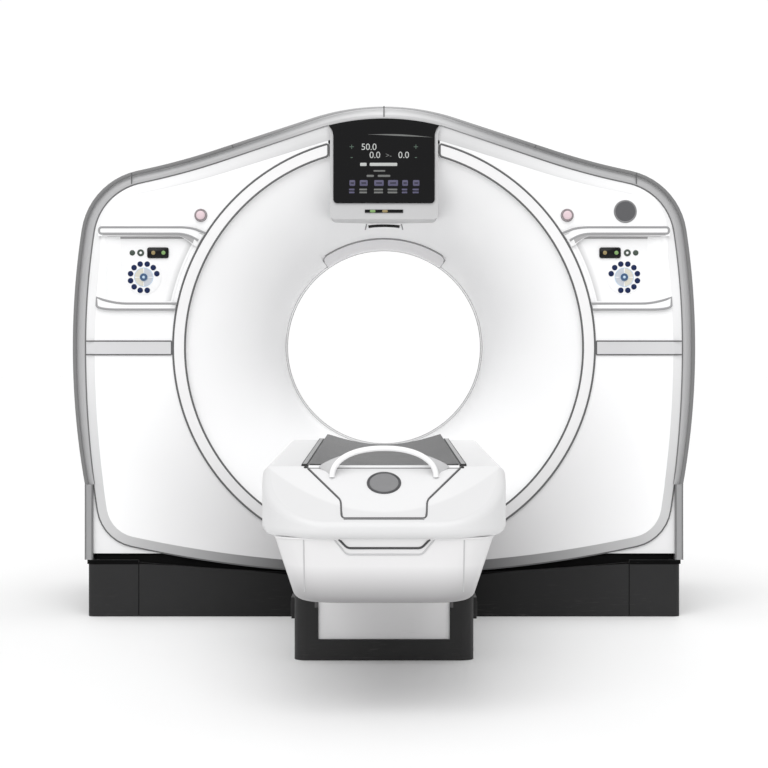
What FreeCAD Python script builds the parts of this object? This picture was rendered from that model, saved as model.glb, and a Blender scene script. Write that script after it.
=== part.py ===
import FreeCAD, Part

import math
import os

import Sketcher
from FreeCAD import Placement, Rotation, Vector

# A CT scanner: a gantry with a funnel-shaped bore, and a patient table in front of it.
# The origin is on the floor under the bore's axis, +Z up. The table lies towards -Y.

SIZES = {
    # where the bore's axis lies, and the gantry's depth to each side of the origin
    "iso_height": 1020.0,
    "front_face": 550.0,
    "rear_face": 550.0,
    # the gantry's outline: crown, roof line, shoulder, side
    "crown_rise": 917.0,
    "crown_radius": 843.0,
    "roof_slope": 18.6,
    "roof_run": 370.0,
    "valley_radius": 2680.0,
    "shoulder_slope": 12.5,
    "shoulder_run": 45.0,
    "shoulder_radius": 270.0,
    "side_lean": 8.6,
    "side_radius": 2980.0,
    "band_foot": 500.0,
    # outer band round the gantry
    "band_width": 46.0,
    "band_wall": 8.0,
    "band_bevel": 45.0,
    "band_set_back": 5.0,
    "seam": 0.3,
    "cut_margin": 5.0,
    "weld_depth": 1.0,
    # front and rear covers
    "cover_skin": 8.0,
    "cover_bevel": 38.0,
    "cover_bevel_depth": 12.0,
    "cover_side_drop": 620.0,
    "cover_foot_lean": 8.7,
    "cover_corner_radius": 163.0,
    "cover_floor_tilt": 12.3,
    # ring, cones and bore
    "ring_outer": 800.0,
    "ring_inner": 752.0,
    "ring_stand": 6.0,
    "ring_depth": 20.0,
    "ring_end_gap": 5.3,
    "bore_radius": 400.0,
    "throat_front": 20.0,
    "throat_rear": 140.0,
    "cone_wall": 8.0,
    "cone_flange": 8.0,
    "liner_wall": 4.0,
    "rear_mouth": 560.0,
    "rear_opening": 600.0,
    "rear_cover_wall": 30.0,
    "crescent_angle": 70.0,
    "crescent_share": 0.286,
    "crescent_wall": 4.0,
    "slot_angle": 14.7,
    "slot_share": 0.433,
    "slot_share_width": 0.024,
    "slot_wall": 3.0,
    # display over the bore
    "display_half_width": 204.0,
    "display_flare": 7.0,
    "display_flare_height": 28.0,
    "display_drop": 484.0,
    "display_stand": 15.0,
    "display_back": 250.0,
    "display_corner": 18.0,
    "display_lap": 6.0,
    "display_lap_depth": 14.0,
    "glass_half_width": 191.7,
    "glass_bottom": 544.0,
    "glass_wall": 6.0,
    "glass_corner": 15.0,
    "glass_top_corner": 838.0,
    "glass_shoulder": 800.0,
    "glass_apex": 864.0,
    "glass_edge": 1.0,
    "glass_flare_radius": 60.0,
    "lamp_strip_half_width": 72.0,
    "lamp_strip_height": 12.0,
    "lamp_strip_rise": 508.0,
    "lamp_strip_wall": 3.0,
    # control panels
    "panel_top": 1449.0,
    "panel_bottom": 1182.0,
    "panel_outer": 1058.0,
    "panel_ring_gap": 17.0,
    "panel_rim": 9.0,
    "panel_depth": 9.0,
    "panel_floor": 6.0,
    "ledge_depth": 12.0,
    "ledge_height": 27.0,
    "ledge_reach": 24.0,
    "ledge_bend_width": 75.0,
    "ledge_drop": 24.0,
    "ledge_end_drop": 32.0,
    "ledge_curve": 190.0,
    "ledge_under_curve": 165.0,
    "ledge_ring_gap": 4.0,
    "lower_ledge_height": 22.0,
    "lower_ledge_reach": 32.0,
    "lower_ledge_flare": 20.0,
    "lower_ledge_taper": 75.0,
    "dial_shift": 4.3,
    "dial_rise": 265.5,
    "dial_radius": 51.5,
    "dial_plate": 66.0,
    "dial_skin": 1.5,
    "key_radius": 9.5,
    "key_rise": 3.0,
    "start_radius": 14.0,
    "start_stand": 6.0,
    "stop_ring_gap": 55.1,
    "stop_angle": 54.25,
    "stop_radius": 22.0,
    "stop_stand": 12.0,
    "running_gap": 0.05,
    "lamp_shift": 54.0,
    "lamp_rise": 358.0,
    "lamp_width": 79.5,
    "lamp_height": 39.0,
    "lamp_wall": 4.0,
    "strip_top": 23.5,
    "strip_height": 52.0,
    "strip_wall": 4.0,
    "strip_tip": 6.0,
    "strip_ring_gap": 4.0,
    # lower parts of the gantry
    "side_panel_gap": 3.1335,
    "base_height": 214.0,
    "base_reach": 18.0,
    "base_side_width": 193.0,
    "base_side_wall": 40.0,
    "base_side_top": 206.0,
    "base_sag": 46.0,
    "rear_base_sag": 53.0,
    "base_cover_wall": 12.0,
    "base_set_back": 2.0,
    "base_corner": 25.0,
    "corner_panel_bottom": 237.0,
    "corner_panel_inner": 700.0,
    "corner_panel_wall": 14.0,
    # steel inside the gantry
    "floor_plate": 20.0,
    "floor_plate_inset": 62.0,
    "floor_plate_half_depth": 430.0,
    "beam_inset": 60.0,
    "beam_width": 140.0,
    "beam_top": 120.0,
    "bracket_width": 60.0,
    "bracket_inset": 100.0,
    "gantry_bolt_inset": 30.0,
    "gantry_bolt_back": 350.0,
    "gantry_bolt_radius": 9.0,
    "stator_outer": 870.0,
    "stator_bore": 655.0,
    "stator_front": 320.0,
    "stator_wall": 80.0,
    "leg_inner": 330.0,
    "leg_outer": 640.0,
    "leg_outer_taper": 80.0,
    "leg_outer_rise": 340.0,
    "leg_inner_taper": 50.0,
    "leg_inner_rise": 280.0,
    "hub_radius": 600.0,
    "hub_wall": 30.0,
    "hub_rear": 420.0,
    "disc_outer": 800.0,
    "disc_front": 200.0,
    "disc_wall": 30.0,
    "bearing_front": 330.0,
    "bearing_width": 60.0,
    "slip_inner": 545.0,
    "slip_outer": 640.0,
    "slip_wall": 20.0,
    "brush_width": 120.0,
    "brush_lift": 25.0,
    "brush_reach": 120.0,
    "brush_back": 60.0,
    "brush_lap": 50.0,
    "tube_radius": 130.0,
    "tube_length": 300.0,
    "tube_reach": 640.0,
    "generator_length": 300.0,
    "generator_depth": 250.0,
    "generator_height": 200.0,
    "detector_inner": 640.0,
    "detector_outer": 730.0,
    "detector_depth": 220.0,
    "detector_angle": 64.0,
    "cabinet_width": 180.0,
    "cabinet_depth": 450.0,
    "cabinet_height": 480.0,
    "cabinet_gap": 12.0,
    # table base and lift
    "table_half_width": 293.0,
    "table_base_front": 1560.0,
    "table_floor_plate": 20.0,
    "table_corner": 40.0,
    "base_panel_set_back": 8.0,
    "base_panel_wall": 12.0,
    "table_bar_height": 68.0,
    "table_beam_inner": 214.5,
    "table_beam_height": 240.0,
    "table_bar_width": 60.0,
    "table_bolt_side": 185.0,
    "table_bolt_back": 380.0,
    "table_bolt_radius": 7.0,
    "pedal_length": 160.0,
    "pedal_width": 12.0,
    "pedal_bottom": 125.0,
    "pedal_height": 71.0,
    "pedal_front": 1500.0,
    "pedal_lower_corner": 20.0,
    "pedal_upper_corner": 12.0,
    "column_half_width": 150.0,
    "column_front": 1330.0,
    "column_rear": 870.0,
    "column_wall": 8.0,
    "column_top": 320.0,
    "column_lug": 30.0,
    "column_lug_margin": 10.0,
    "column_floor_gap": 4.0,
    "lift_down": 180.0,
    "lift_up": 280.0,
    "actuator_radius": 34.0,
    "actuator_rod_radius": 24.0,
    "actuator_back": 825.0,
    # table top
    "frame_bottom": 540.0,
    "frame_plate": 12.0,
    "frame_wall": 16.0,
    "rail_bottom": 640.0,
    "rail_top": 697.0,
    "frame_front": 2490.0,
    "frame_rear": 1010.0,
    "cradle_side_gap": 2.0,
    "cradle_half_width": 210.0,
    "cradle_centre_top": 655.0,
    "cradle_edge_top": 697.0,
    "cradle_near": 2500.0,
    "cradle_far": 600.0,
    "cradle_keel": 60.0,
    "cradle_bore_gap": 7.0,
    "cradle_corner": 90.0,
    "roller_radius": 30.0,
    "roller_half_length": 50.0,
    "roller_back": 1050.0,
    "roller_gap": 0.1,
    "axle_radius": 6.0,
    "axle_recess": 1.0,
    "ear_gap": 2.0,
    "ear_wall": 10.0,
    "ear_half_depth": 13.0,
    "nose_half_width": 335.0,
    "nose_bottom": 508.0,
    "nose_top": 691.0,
    "nose_front": 2700.0,
    "nose_corner": 185.0,
    "nose_rear": 1000.0,
    "nose_slope": 35.0,
    "nose_soft_edge": 26.0,
    "nose_skin": 8.0,
    "nose_near_wall": 32.0,
    "cap_shoulder_half_width": 115.0,
    "cap_shoulder": 605.0,
    "cap_foot_half_width": 106.0,
    "cap_bottom": 562.0,
    "cap_gap": 1.5,
    "cap_front": 2688.0,
    "cap_rim": 6.0,
    "handle_tube": 8.0,
    "handle_radius": 179.0,
    "handle_top": 742.0,
    "handle_back": 2542.0,
    "handle_foot": 674.5,
    "handle_boss": 14.0,
    "handle_boss_depth": 22.0,
    "handle_sweep": 160.0,
    "belly_bottom": 307.0,
    "belly_half_width": 300.0,
    "belly_front": 2672.0,
    "belly_taper": 17.2,
    "belly_rear": 1640.0,
    "belly_corner": 120.0,
    "belly_soft_edge": 40.0,
    "belly_wall": 20.0,
    "belly_floor": 32.0,
}

doc = FreeCAD.newDocument("ct_scanner")
sheet = doc.addObject("Spreadsheet::Sheet", "Sizes")
for row, (alias, number) in enumerate(SIZES.items(), start=1):
    sheet.set("A%d" % row, alias)
    sheet.set("B%d" % row, str(number))
    sheet.setAlias("B%d" % row, alias)
doc.recompute()


class Size:
    """A length or angle with the spreadsheet expression that it comes from."""

    def __init__(self, value, text):
        self.value = value
        self.text = text

    def __add__(self, other):
        other = as_size(other)
        return Size(self.value + other.value, "(%s + %s)" % (self.text, other.text))

    def __sub__(self, other):
        other = as_size(other)
        return Size(self.value - other.value, "(%s - %s)" % (self.text, other.text))

    def __mul__(self, other):
        other = as_size(other)
        return Size(self.value * other.value, "(%s * %s)" % (self.text, other.text))

    def __truediv__(self, other):
        other = as_size(other)
        return Size(self.value / other.value, "(%s / %s)" % (self.text, other.text))

    def __radd__(self, other):
        return as_size(other) + self

    def __rsub__(self, other):
        return as_size(other) - self

    def __rmul__(self, other):
        return as_size(other) * self

    def __neg__(self):
        return Size(-self.value, "(0 - %s)" % self.text)


def as_size(number):
    return number if isinstance(number, Size) else Size(float(number), repr(float(number)))


def size(alias):
    return Size(float(sheet.get(alias)), "Sizes." + alias)


def sine(angle):
    return Size(math.sin(math.radians(angle.value)), "sin(%s)" % angle.text)


def cosine(angle):
    return Size(math.cos(math.radians(angle.value)), "cos(%s)" % angle.text)


def root(number):
    return Size(math.sqrt(number.value), "sqrt(%s)" % number.text)


def arcsine(ratio):
    return Size(math.degrees(math.asin(ratio.value)), "asin(%s)" % ratio.text)


def leg(hypotenuse, other):
    """The third side of a right-angled triangle."""
    return root(hypotenuse * hypotenuse - other * other)


nodes = {}  # the finished sub-parts, by the name of their file


def finish(name, thing):
    thing.Label = name
    nodes[name] = thing
    return thing


def bind(thing, prop, value):
    thing.setExpression(prop, as_size(value).text)


# ---------------------------------------------------------------- sketches and features


class Bend:
    """An arc to the next point: its radius, and +1 if it turns left, -1 if it turns right."""

    def __init__(self, radius, turn, large=False):
        self.radius = as_size(radius)
        self.turn = turn
        self.large = large


class Ring:
    """A full circle."""

    def __init__(self, across, up, radius):
        self.across = as_size(across)
        self.up = as_size(up)
        self.radius = as_size(radius)


def pin(sketch, geometry, end, across, up):
    for kind, value in (("DistanceX", across), ("DistanceY", up)):
        row = sketch.addConstraint(Sketcher.Constraint(kind, -1, 1, geometry, end, value.value))
        sketch.setExpression("Constraints[%d]" % row, value.text)


def draw_arc(start, stop, bend):
    """The arc between two points, as a counterclockwise arc, and whether it was turned round."""
    (x1, y1), (x2, y2) = start, stop
    radius = bend.radius.value
    chord = math.hypot(x2 - x1, y2 - y1)
    height = math.sqrt(max(radius * radius - chord * chord / 4, 0.0))
    side = bend.turn * (-1 if bend.large else 1)
    centre = Vector(
        (x1 + x2) / 2 - side * height * (y2 - y1) / chord,
        (y1 + y2) / 2 + side * height * (x2 - x1) / chord,
        0,
    )
    first, last = (start, stop) if bend.turn > 0 else (stop, start)
    begin = math.atan2(first[1] - centre.y, first[0] - centre.x)
    end = math.atan2(last[1] - centre.y, last[0] - centre.x)
    circle = Part.Circle(centre, Vector(0, 0, 1), radius)
    return Part.ArcOfCircle(circle, begin, end), bend.turn < 0


def draw_path(sketch, path):
    """A closed path of points, with a Bend between two points where they are joined by an arc."""
    corners, bends = [], []
    for item in path:
        if isinstance(item, Bend):
            bends[-1] = item
        else:
            corners.append((as_size(item[0]), as_size(item[1])))
            bends.append(None)
    numbers = [(across.value, up.value) for across, up in corners]
    ends = []
    for index, bend in enumerate(bends):
        start, stop = numbers[index], numbers[(index + 1) % len(numbers)]
        if bend is None:
            line = Part.LineSegment(Vector(*start, 0), Vector(*stop, 0))
            ends.append((sketch.addGeometry(line, False), 1, 2))
            continue
        arc, turned = draw_arc(start, stop, bend)
        geometry = sketch.addGeometry(arc, False)
        ends.append((geometry, 2, 1) if turned else (geometry, 1, 2))
        row = sketch.addConstraint(Sketcher.Constraint("Radius", geometry, bend.radius.value))
        sketch.setExpression("Constraints[%d]" % row, bend.radius.text)
    for index, (geometry, start, stop) in enumerate(ends):
        following, next_start, _ = ends[(index + 1) % len(ends)]
        sketch.addConstraint(Sketcher.Constraint("Coincident", geometry, stop, following, next_start))
        pin(sketch, geometry, start, *corners[index])


def sketch_on(body, name, role, offset, *figures):
    """A sketch on one of the body's own planes, moved along the plane's normal by offset."""
    sketch = body.newObject("Sketcher::SketchObject", name)
    plane = [item for item in body.Origin.OriginFeatures if item.Role == role][0]
    sketch.AttachmentSupport = [(plane, "")]
    sketch.MapMode = "FlatFace"
    bind(sketch, "AttachmentOffset.Base.z", offset)
    for figure in figures:
        if isinstance(figure, Ring):
            geometry = sketch.addGeometry(
                Part.Circle(
                    Vector(figure.across.value, figure.up.value, 0),
                    Vector(0, 0, 1),
                    figure.radius.value,
                ),
                False,
            )
            row = sketch.addConstraint(Sketcher.Constraint("Radius", geometry, figure.radius.value))
            sketch.setExpression("Constraints[%d]" % row, figure.radius.text)
            pin(sketch, geometry, 3, figure.across, figure.up)
        else:
            draw_path(sketch, figure)
    return sketch


def new_body(name, rise=None):
    """A body; rise lifts it, so that a round piece can be drawn about the bore's axis."""
    body = doc.addObject("PartDesign::Body", name)
    if rise is not None:
        bind(body, "Placement.Base.z", rise)
    return finish(name, body)


def feature_name(body, kind):
    return "%s_%s_%d" % (body.Name, kind, len(body.Group))


def pad(body, role, offset, length, *figures, midplane=False):
    name = feature_name(body, "pad")
    sketch = sketch_on(body, name + "_sketch", role, offset, *figures)
    feature = body.newObject("PartDesign::Pad", name)
    feature.Profile = sketch
    bind(feature, "Length", length)
    feature.Midplane = midplane
    doc.recompute()
    return feature


def pocket(body, role, offset, length, *figures, midplane=False):
    """A cut against the plane's normal; it has to take something away."""
    before = body.Shape.Volume
    name = feature_name(body, "pocket")
    sketch = sketch_on(body, name + "_sketch", role, offset, *figures)
    feature = body.newObject("PartDesign::Pocket", name)
    feature.Profile = sketch
    bind(feature, "Length", length)
    feature.Midplane = midplane
    doc.recompute()
    if not body.Shape.Volume < before - 1.0:
        raise RuntimeError("%s cuts nothing" % name)
    return feature


def loft(body, *sketches, cut=False):
    """Straight faces between two or more sketches, added to the body or cut out of it."""
    kind = "SubtractiveLoft" if cut else "AdditiveLoft"
    feature = body.newObject("PartDesign::" + kind, feature_name(body, "loft"))
    feature.Profile = sketches[0]
    feature.Sections = list(sketches[1:])
    feature.Ruled = True
    doc.recompute()
    return feature


def revolve(body, figure, angle=None, groove=False):
    """Turns a profile in the YZ plane about the body's Y axis, evenly to both sides of upright."""
    name = feature_name(body, "turn")
    sketch = sketch_on(body, name + "_sketch", "YZ_Plane", 0, figure)
    kind = "PartDesign::Groove" if groove else "PartDesign::Revolution"
    feature = body.newObject(kind, name)
    feature.Profile = sketch
    feature.ReferenceAxis = (sketch, ["H_Axis"])
    if angle is None:
        feature.Angle = 360.0
    else:
        feature.Midplane = True
        bind(feature, "Angle", angle)
    doc.recompute()
    return feature


def round_edges(body, radius, chosen):
    """Fillets the edges that the test picks."""
    base = body.Tip
    names = [
        "Edge%d" % number for number, edge in enumerate(base.Shape.Edges, start=1) if chosen(edge)
    ]
    if not names:
        raise RuntimeError("%s has no edge to round" % body.Label)
    feature = body.newObject("PartDesign::Fillet", feature_name(body, "fillet"))
    feature.Base = (base, names)
    bind(feature, "Radius", radius)
    doc.recompute()
    return feature


def plate(body, front, back, *figures):
    """A pad between two distances in front of the origin, drawn in the XZ plane."""
    return pad(body, "XZ_Plane", back, front - back, *figures)


def front_cut(body, front, back, *figures):
    return pocket(body, "XZ_Plane", front, front - back, *figures)


def box(name, low, high):
    """A block between two corners."""
    block = doc.addObject("Part::Box", name)
    low = [as_size(item) for item in low]
    high = [as_size(item) for item in high]
    for prop, near, far in zip(("Length", "Width", "Height"), low, high):
        bind(block, prop, far - near)
    for prop, near in zip(("x", "y", "z"), low):
        bind(block, "Placement.Base." + prop, near)
    return finish(name, block)


def rectangle(left, right, bottom, top):
    return [(left, bottom), (right, bottom), (right, top), (left, top)]


def mirrored(path):
    """The same path on the other side of the middle plane."""
    result = []
    for item in path:
        if isinstance(item, Bend):
            result.append(Bend(item.radius, -item.turn, item.large))
        else:
            result.append((-as_size(item[0]), item[1]))
    return result


def reverse(path):
    """The same path run the other way."""
    return [Bend(i.radius, -i.turn, i.large) if isinstance(i, Bend) else i for i in path[::-1]]


SIDES = (("left", -1), ("right", 1))

iso = size("iso_height")
seam = size("seam")
margin = size("cut_margin")  # how far a cut runs past its piece
weld = size("weld_depth")  # how far a joined part reaches into the first one
front = size("front_face")
rear = size("rear_face")


# ---------------------------------------------------------------- the gantry's outline
# Points with the angle of their outward normal from upright, and the radius of the arc to
# the next point: positive bulges outwards, negative inwards, None is straight.


def outline_stations():
    crown, valley = size("crown_radius"), size("valley_radius")
    shoulder, side = size("shoulder_radius"), size("side_radius")
    roof, flat = size("roof_slope"), size("shoulder_slope")
    lean = size("side_lean")
    steep = 90 - lean
    upright = as_size(90)
    top = iso + size("crown_rise")
    x1, z1 = crown * sine(roof), top - crown + crown * cosine(roof)
    x2 = x1 + size("roof_run") * cosine(roof)
    z2 = z1 - size("roof_run") * sine(roof)
    x3 = x2 + valley * (sine(roof) - sine(flat))
    z3 = z2 + valley * (cosine(roof) - cosine(flat))
    x4 = x3 + size("shoulder_run") * cosine(flat)
    z4 = z3 - size("shoulder_run") * sine(flat)
    x5 = x4 + shoulder * (sine(steep) - sine(flat))
    z5 = z4 + shoulder * (cosine(steep) - cosine(flat))
    x6 = x5 + side * (1 - sine(steep))
    z6 = z5 - side * cosine(steep)
    return [
        (as_size(0), top, as_size(0), crown),
        (x1, z1, roof, None),
        (x2, z2, roof, -valley),
        (x3, z3, flat, None),
        (x4, z4, flat, shoulder),
        (x5, z5, steep, side),
        (x6, z6, upright, side),
    ]


STATIONS = outline_stations()
WIDEST, WIDEST_HEIGHT = STATIONS[6][0], STATIONS[6][1]


def stretch(first, last, inset):
    """The right half of the outline between two stations, set inwards."""
    path = []
    for number in range(first, last + 1):
        x, z, normal, radius = STATIONS[number]
        path.append((x - inset * sine(normal), z - inset * cosine(normal)))
        if number < last and radius is not None:
            if radius.value > 0:
                path.append(Bend(radius - inset, -1))
            else:
                path.append(Bend(-radius + inset, 1))
    return path


def side_foot(inset, height, radius=None):
    """The outline's side carried down to a height, as an arc and its end."""
    radius = radius or size("side_radius") - inset
    drop = WIDEST_HEIGHT - height
    return [Bend(radius, -1), (WIDEST - inset - radius + leg(radius, drop), height)]


def cover_side_radius():
    """The radius of a cover's side below its widest point."""
    return size("cover_side_drop") / sine(size("cover_foot_lean"))


def cover_half(inset, bevel):
    """A cover's right edge from the shoulder to the bottom, inside the band by inset."""
    inset = as_size(inset) + bevel
    lean, tilt = size("cover_foot_lean"), size("cover_floor_tilt")
    corner = size("cover_corner_radius") - bevel
    side = cover_side_radius() - bevel
    x1 = WIDEST - inset - side * (1 - cosine(lean))
    z1 = WIDEST_HEIGHT - side * sine(lean)
    x2 = x1 - corner * cosine(lean) + corner * sine(tilt)
    z2 = z1 + corner * sine(lean) - corner * cosine(tilt)
    floor = x2 / sine(tilt)
    return [Bend(side, -1), (x1, z1), Bend(corner, -1), (x2, z2), Bend(floor, -1)]


def cover_outline(inset, bevel, notch=None, opening=None):
    """A closed cover outline, clockwise from the front; with a notch it is open at the top."""
    total = as_size(inset) + bevel
    down = stretch(1, 6, total) + cover_half(inset, bevel)
    up = reverse(mirrored(down[:-1]))
    if notch is None:
        return down + up + [Bend(size("crown_radius") - total, -1)]
    crown = size("crown_radius") - total
    crown_centre = iso + size("crown_rise") - size("crown_radius")
    tip = (notch, crown_centre + leg(crown, notch))
    heel = (notch, iso + leg(opening, notch))
    right = [heel, tip, Bend(crown, -1)] + down
    left = up + [Bend(crown, -1)] + mirrored([tip]) + mirrored([heel])
    return right + left + [Bend(opening, 1, large=True)]


# ---------------------------------------------------------------- outer band

band_front = front - size("band_set_back")
rear_skin = size("rear_cover_wall")
band_back = rear - rear_skin - seam
cover_inset = size("band_width") + seam


def band_section(first, last, outer, inner, foot, lips_cover):
    """A slice of the band; below the widest point its lip follows the cover's edge."""
    outer_path = stretch(first, last, outer)
    inner_path = stretch(first, last, inner)
    if foot:
        outer_path += side_foot(outer, size("band_foot"))
        lip_radius = cover_side_radius() + seam if lips_cover else None
        inner_path += side_foot(inner, size("band_foot"), lip_radius)
    return outer_path + reverse(inner_path)


def band(name, first, last, sign, foot):
    body = new_body(name)
    width, wall, bevel = size("band_width"), size("band_wall"), size("band_bevel")

    def section(outer, inner, lips_cover=True):
        path = band_section(first, last, outer, inner, foot, lips_cover)
        return path if sign > 0 else mirrored(path)

    plate(body, band_front - bevel, -band_back, section(as_size(0), wall, lips_cover=False))
    rounding = [(1.0, 0.0), (0.35, 0.22), (0.0, 0.78)]  # share of the bevel, and inset
    sketches = [
        sketch_on(
            body,
            "%s_edge_%d" % (name, number),
            "XZ_Plane",
            band_front - bevel * depth,
            section(width * share, width),
        )
        for number, (depth, share) in enumerate(rounding)
    ]
    loft(body, *sketches)
    return body


for side, sign in SIDES:
    band("top_band_" + side, 0, 4, sign, foot=False)
    band("side_band_" + side, 4, 6, sign, foot=True)


# ---------------------------------------------------------------- front cover

skin_back = front - size("cover_skin") - size("cover_bevel_depth")
skin_front = front - size("cover_bevel_depth")
hole = size("ring_outer") + seam
notch = size("display_half_width") + size("display_flare") + seam


panel_inner = size("ring_outer") + size("panel_ring_gap")


def control_opening(gap):
    """The opening for a control panel, on the right side; gap makes it larger."""
    inner = panel_inner - gap
    top, bottom = size("panel_top") + gap, size("panel_bottom") - gap
    outer = size("panel_outer") + gap
    return [
        (leg(inner, top - iso), top),
        (outer, top),
        (outer, bottom),
        (leg(inner, bottom - iso), bottom),
        Bend(inner, 1),
    ]


front_cover = new_body("front_cover")
plate(front_cover, skin_front, skin_back, cover_outline(cover_inset, as_size(0), notch, hole))
bevel_sketches = [
    sketch_on(front_cover, "cover_edge_%d" % number, "XZ_Plane", depth, path)
    for number, (depth, path) in enumerate(
        [
            (skin_front, cover_outline(cover_inset, as_size(0), notch, hole)),
            (front, cover_outline(cover_inset, size("cover_bevel"), notch, hole)),
        ]
    )
]
loft(front_cover, *bevel_sketches)
stop_reach = size("ring_outer") + size("stop_ring_gap")
stop_side = stop_reach * sine(size("stop_angle"))
stop_height = iso + stop_reach * cosine(size("stop_angle"))
stop_hole = size("stop_radius") + size("running_gap")
for side, sign in SIDES:
    opening = control_opening(seam)
    front_cut(front_cover, front, skin_back - margin, opening if sign > 0 else mirrored(opening))
    front_cut(front_cover, front, skin_back - margin, Ring(sign * stop_side, stop_height, stop_hole))

# ---------------------------------------------------------------- ring and cones

trim_front = front + size("ring_stand")
trim_back = trim_front - size("ring_depth")
ring_end = size("display_half_width") + size("ring_end_gap")
outer_ring, inner_ring = size("ring_outer"), size("ring_inner")
ring_trim = new_body("ring_trim", iso)
plate(
    ring_trim,
    trim_front,
    trim_back,
    [
        (ring_end, leg(inner_ring, ring_end)),
        (ring_end, leg(outer_ring, ring_end)),
        Bend(outer_ring, -1, large=True),
        (-ring_end, leg(outer_ring, ring_end)),
        (-ring_end, leg(inner_ring, ring_end)),
        Bend(inner_ring, 1, large=True),
    ],
)


class Bell:
    """A funnel's profile: an arc that leaves the throat along the axis and ends at the mouth.

    It is drawn as equal chords; a share runs from 0 at the throat to 1 at the mouth.
    """

    def __init__(self, throat, mouth, throat_depth, length, toward, chords):
        rise = mouth - throat
        self.radius = (rise * rise + length * length) / (2 * rise)
        self.centre = throat + self.radius
        self.throat_depth = throat_depth
        self.angle = arcsine(length / self.radius)
        self.toward = toward
        self.chords = chords

    def point(self, share, offset):
        """A point of the profile, moved into the wall by offset."""
        turn = self.angle * share
        along = self.throat_depth + (self.radius - offset) * sine(turn)
        return (self.toward * along, self.centre - (self.radius - offset) * cosine(turn))

    def chain(self, first, last, offset, chords=None):
        """The points from one chord's end to another, counted from the throat."""
        count = chords or self.chords
        step = 1 if last >= first else -1
        return [self.point(number / count, offset) for number in range(first, last + step, step)]

    def between(self, place, offset):
        """A point on a chord; place is counted in chords from the throat."""
        number = int(place.value)
        near, far = self.chain(number, number + 1, offset)
        share = place - number
        return tuple(low + (high - low) * share for low, high in zip(near, far))


throat, wall = size("bore_radius"), size("cone_wall")
flange = size("cone_flange")
mouth_front = trim_back - seam
throat_front, throat_rear = size("throat_front"), size("throat_rear")
bell = Bell(throat, inner_ring, throat_front, mouth_front - throat_front, -1, 5)
heel = 0.98  # the share of the profile at which the flange's back meets the wall

front_cone = new_body("front_cone", iso)
revolve(
    front_cone,
    bell.chain(0, bell.chords, as_size(0))
    + [(-mouth_front, outer_ring), (flange - mouth_front, outer_ring)]
    + [(flange - mouth_front, bell.point(heel, wall)[1])]
    + bell.chain(2, 0, wall, 3),
)

bore_liner = new_body("bore_liner", iso)
revolve(
    bore_liner,
    rectangle(seam - throat_front, throat_rear - seam, throat, throat + size("liner_wall")),
)

rear_mouth, rear_opening = size("rear_mouth"), size("rear_opening")
rear_bell = Bell(throat, rear_mouth, throat_rear, rear - throat_rear, 1, 3)
rear_cone = new_body("rear_cone", iso)
revolve(
    rear_cone,
    rear_bell.chain(0, rear_bell.chords, as_size(0))
    + [(rear, rear_opening - seam), (rear - flange, rear_opening - seam)]
    + [(rear - flange, rear_bell.point(heel, wall)[1])]
    + rear_bell.chain(1, 0, wall, 2),
)

rear_cover = new_body("rear_cover")
pad(
    rear_cover,
    "XZ_Plane",
    -rear,
    rear_skin,
    cover_outline(as_size(0), as_size(0)),
    Ring(0, iso, rear_opening),
)

def cone_strip(name, near, far, skin, angle):
    """A curved strip over the bore on the cone's inner face, between two shares of its profile."""
    body = new_body(name, iso)
    first, last = near * bell.chords, far * bell.chords
    ends = [number for number in range(bell.chords) if first.value < number < last.value]
    corners = [first] + [as_size(number) for number in ends] + [last]
    inner = [bell.between(place, -(seam + skin)) for place in corners]
    outer = [bell.between(place, -seam) for place in corners]
    revolve(body, inner + outer[::-1], angle)


slot = size("slot_share")
cone_strip(
    "bore_crescent_panel",
    as_size(0),
    size("crescent_share"),
    size("crescent_wall"),
    size("crescent_angle"),
)
cone_strip(
    "alignment_light_window",
    slot,
    slot + size("slot_share_width"),
    size("slot_wall"),
    size("slot_angle"),
)

# ---------------------------------------------------------------- display

display_front = front + size("display_stand")
housing = new_body("display_housing", iso)
half, flare = size("display_half_width"), size("display_flare")
crown_in = size("crown_radius") - cover_inset
crown_mid = size("crown_rise") - size("crown_radius")
shoulder_height = size("glass_shoulder")
housing_right = [
    (half, size("display_drop")),
    (half, shoulder_height),
    (half + flare, shoulder_height + size("display_flare_height")),
    (half + flare, crown_mid + leg(crown_in, half + flare)),
]
plate(
    housing,
    display_front,
    size("display_back"),
    housing_right + [Bend(crown_in, 1)] + mirrored(housing_right)[::-1],
)
neck = bell.point(1 / bell.chords, -seam)[1]
lap_back = size("display_lap_depth") - trim_front
beyond = size("crown_rise") + size("band_width")
revolve(
    housing,
    [
        (lap_back, beyond),
        (lap_back, inner_ring + size("display_lap")),
        (-mouth_front - seam, inner_ring - seam),
    ]
    + bell.chain(bell.chords - 1, 1, -seam)
    + [(0, neck), (0, beyond)],
    groove=True,
)
round_edges(
    housing,
    size("display_corner"),
    lambda edge: len(edge.Vertexes) == 2
    and abs(edge.BoundBox.XLength) < 0.01
    and abs(edge.BoundBox.ZLength) < 0.01
    and edge.BoundBox.ZMax < size("display_drop").value + 1,
)

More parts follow.
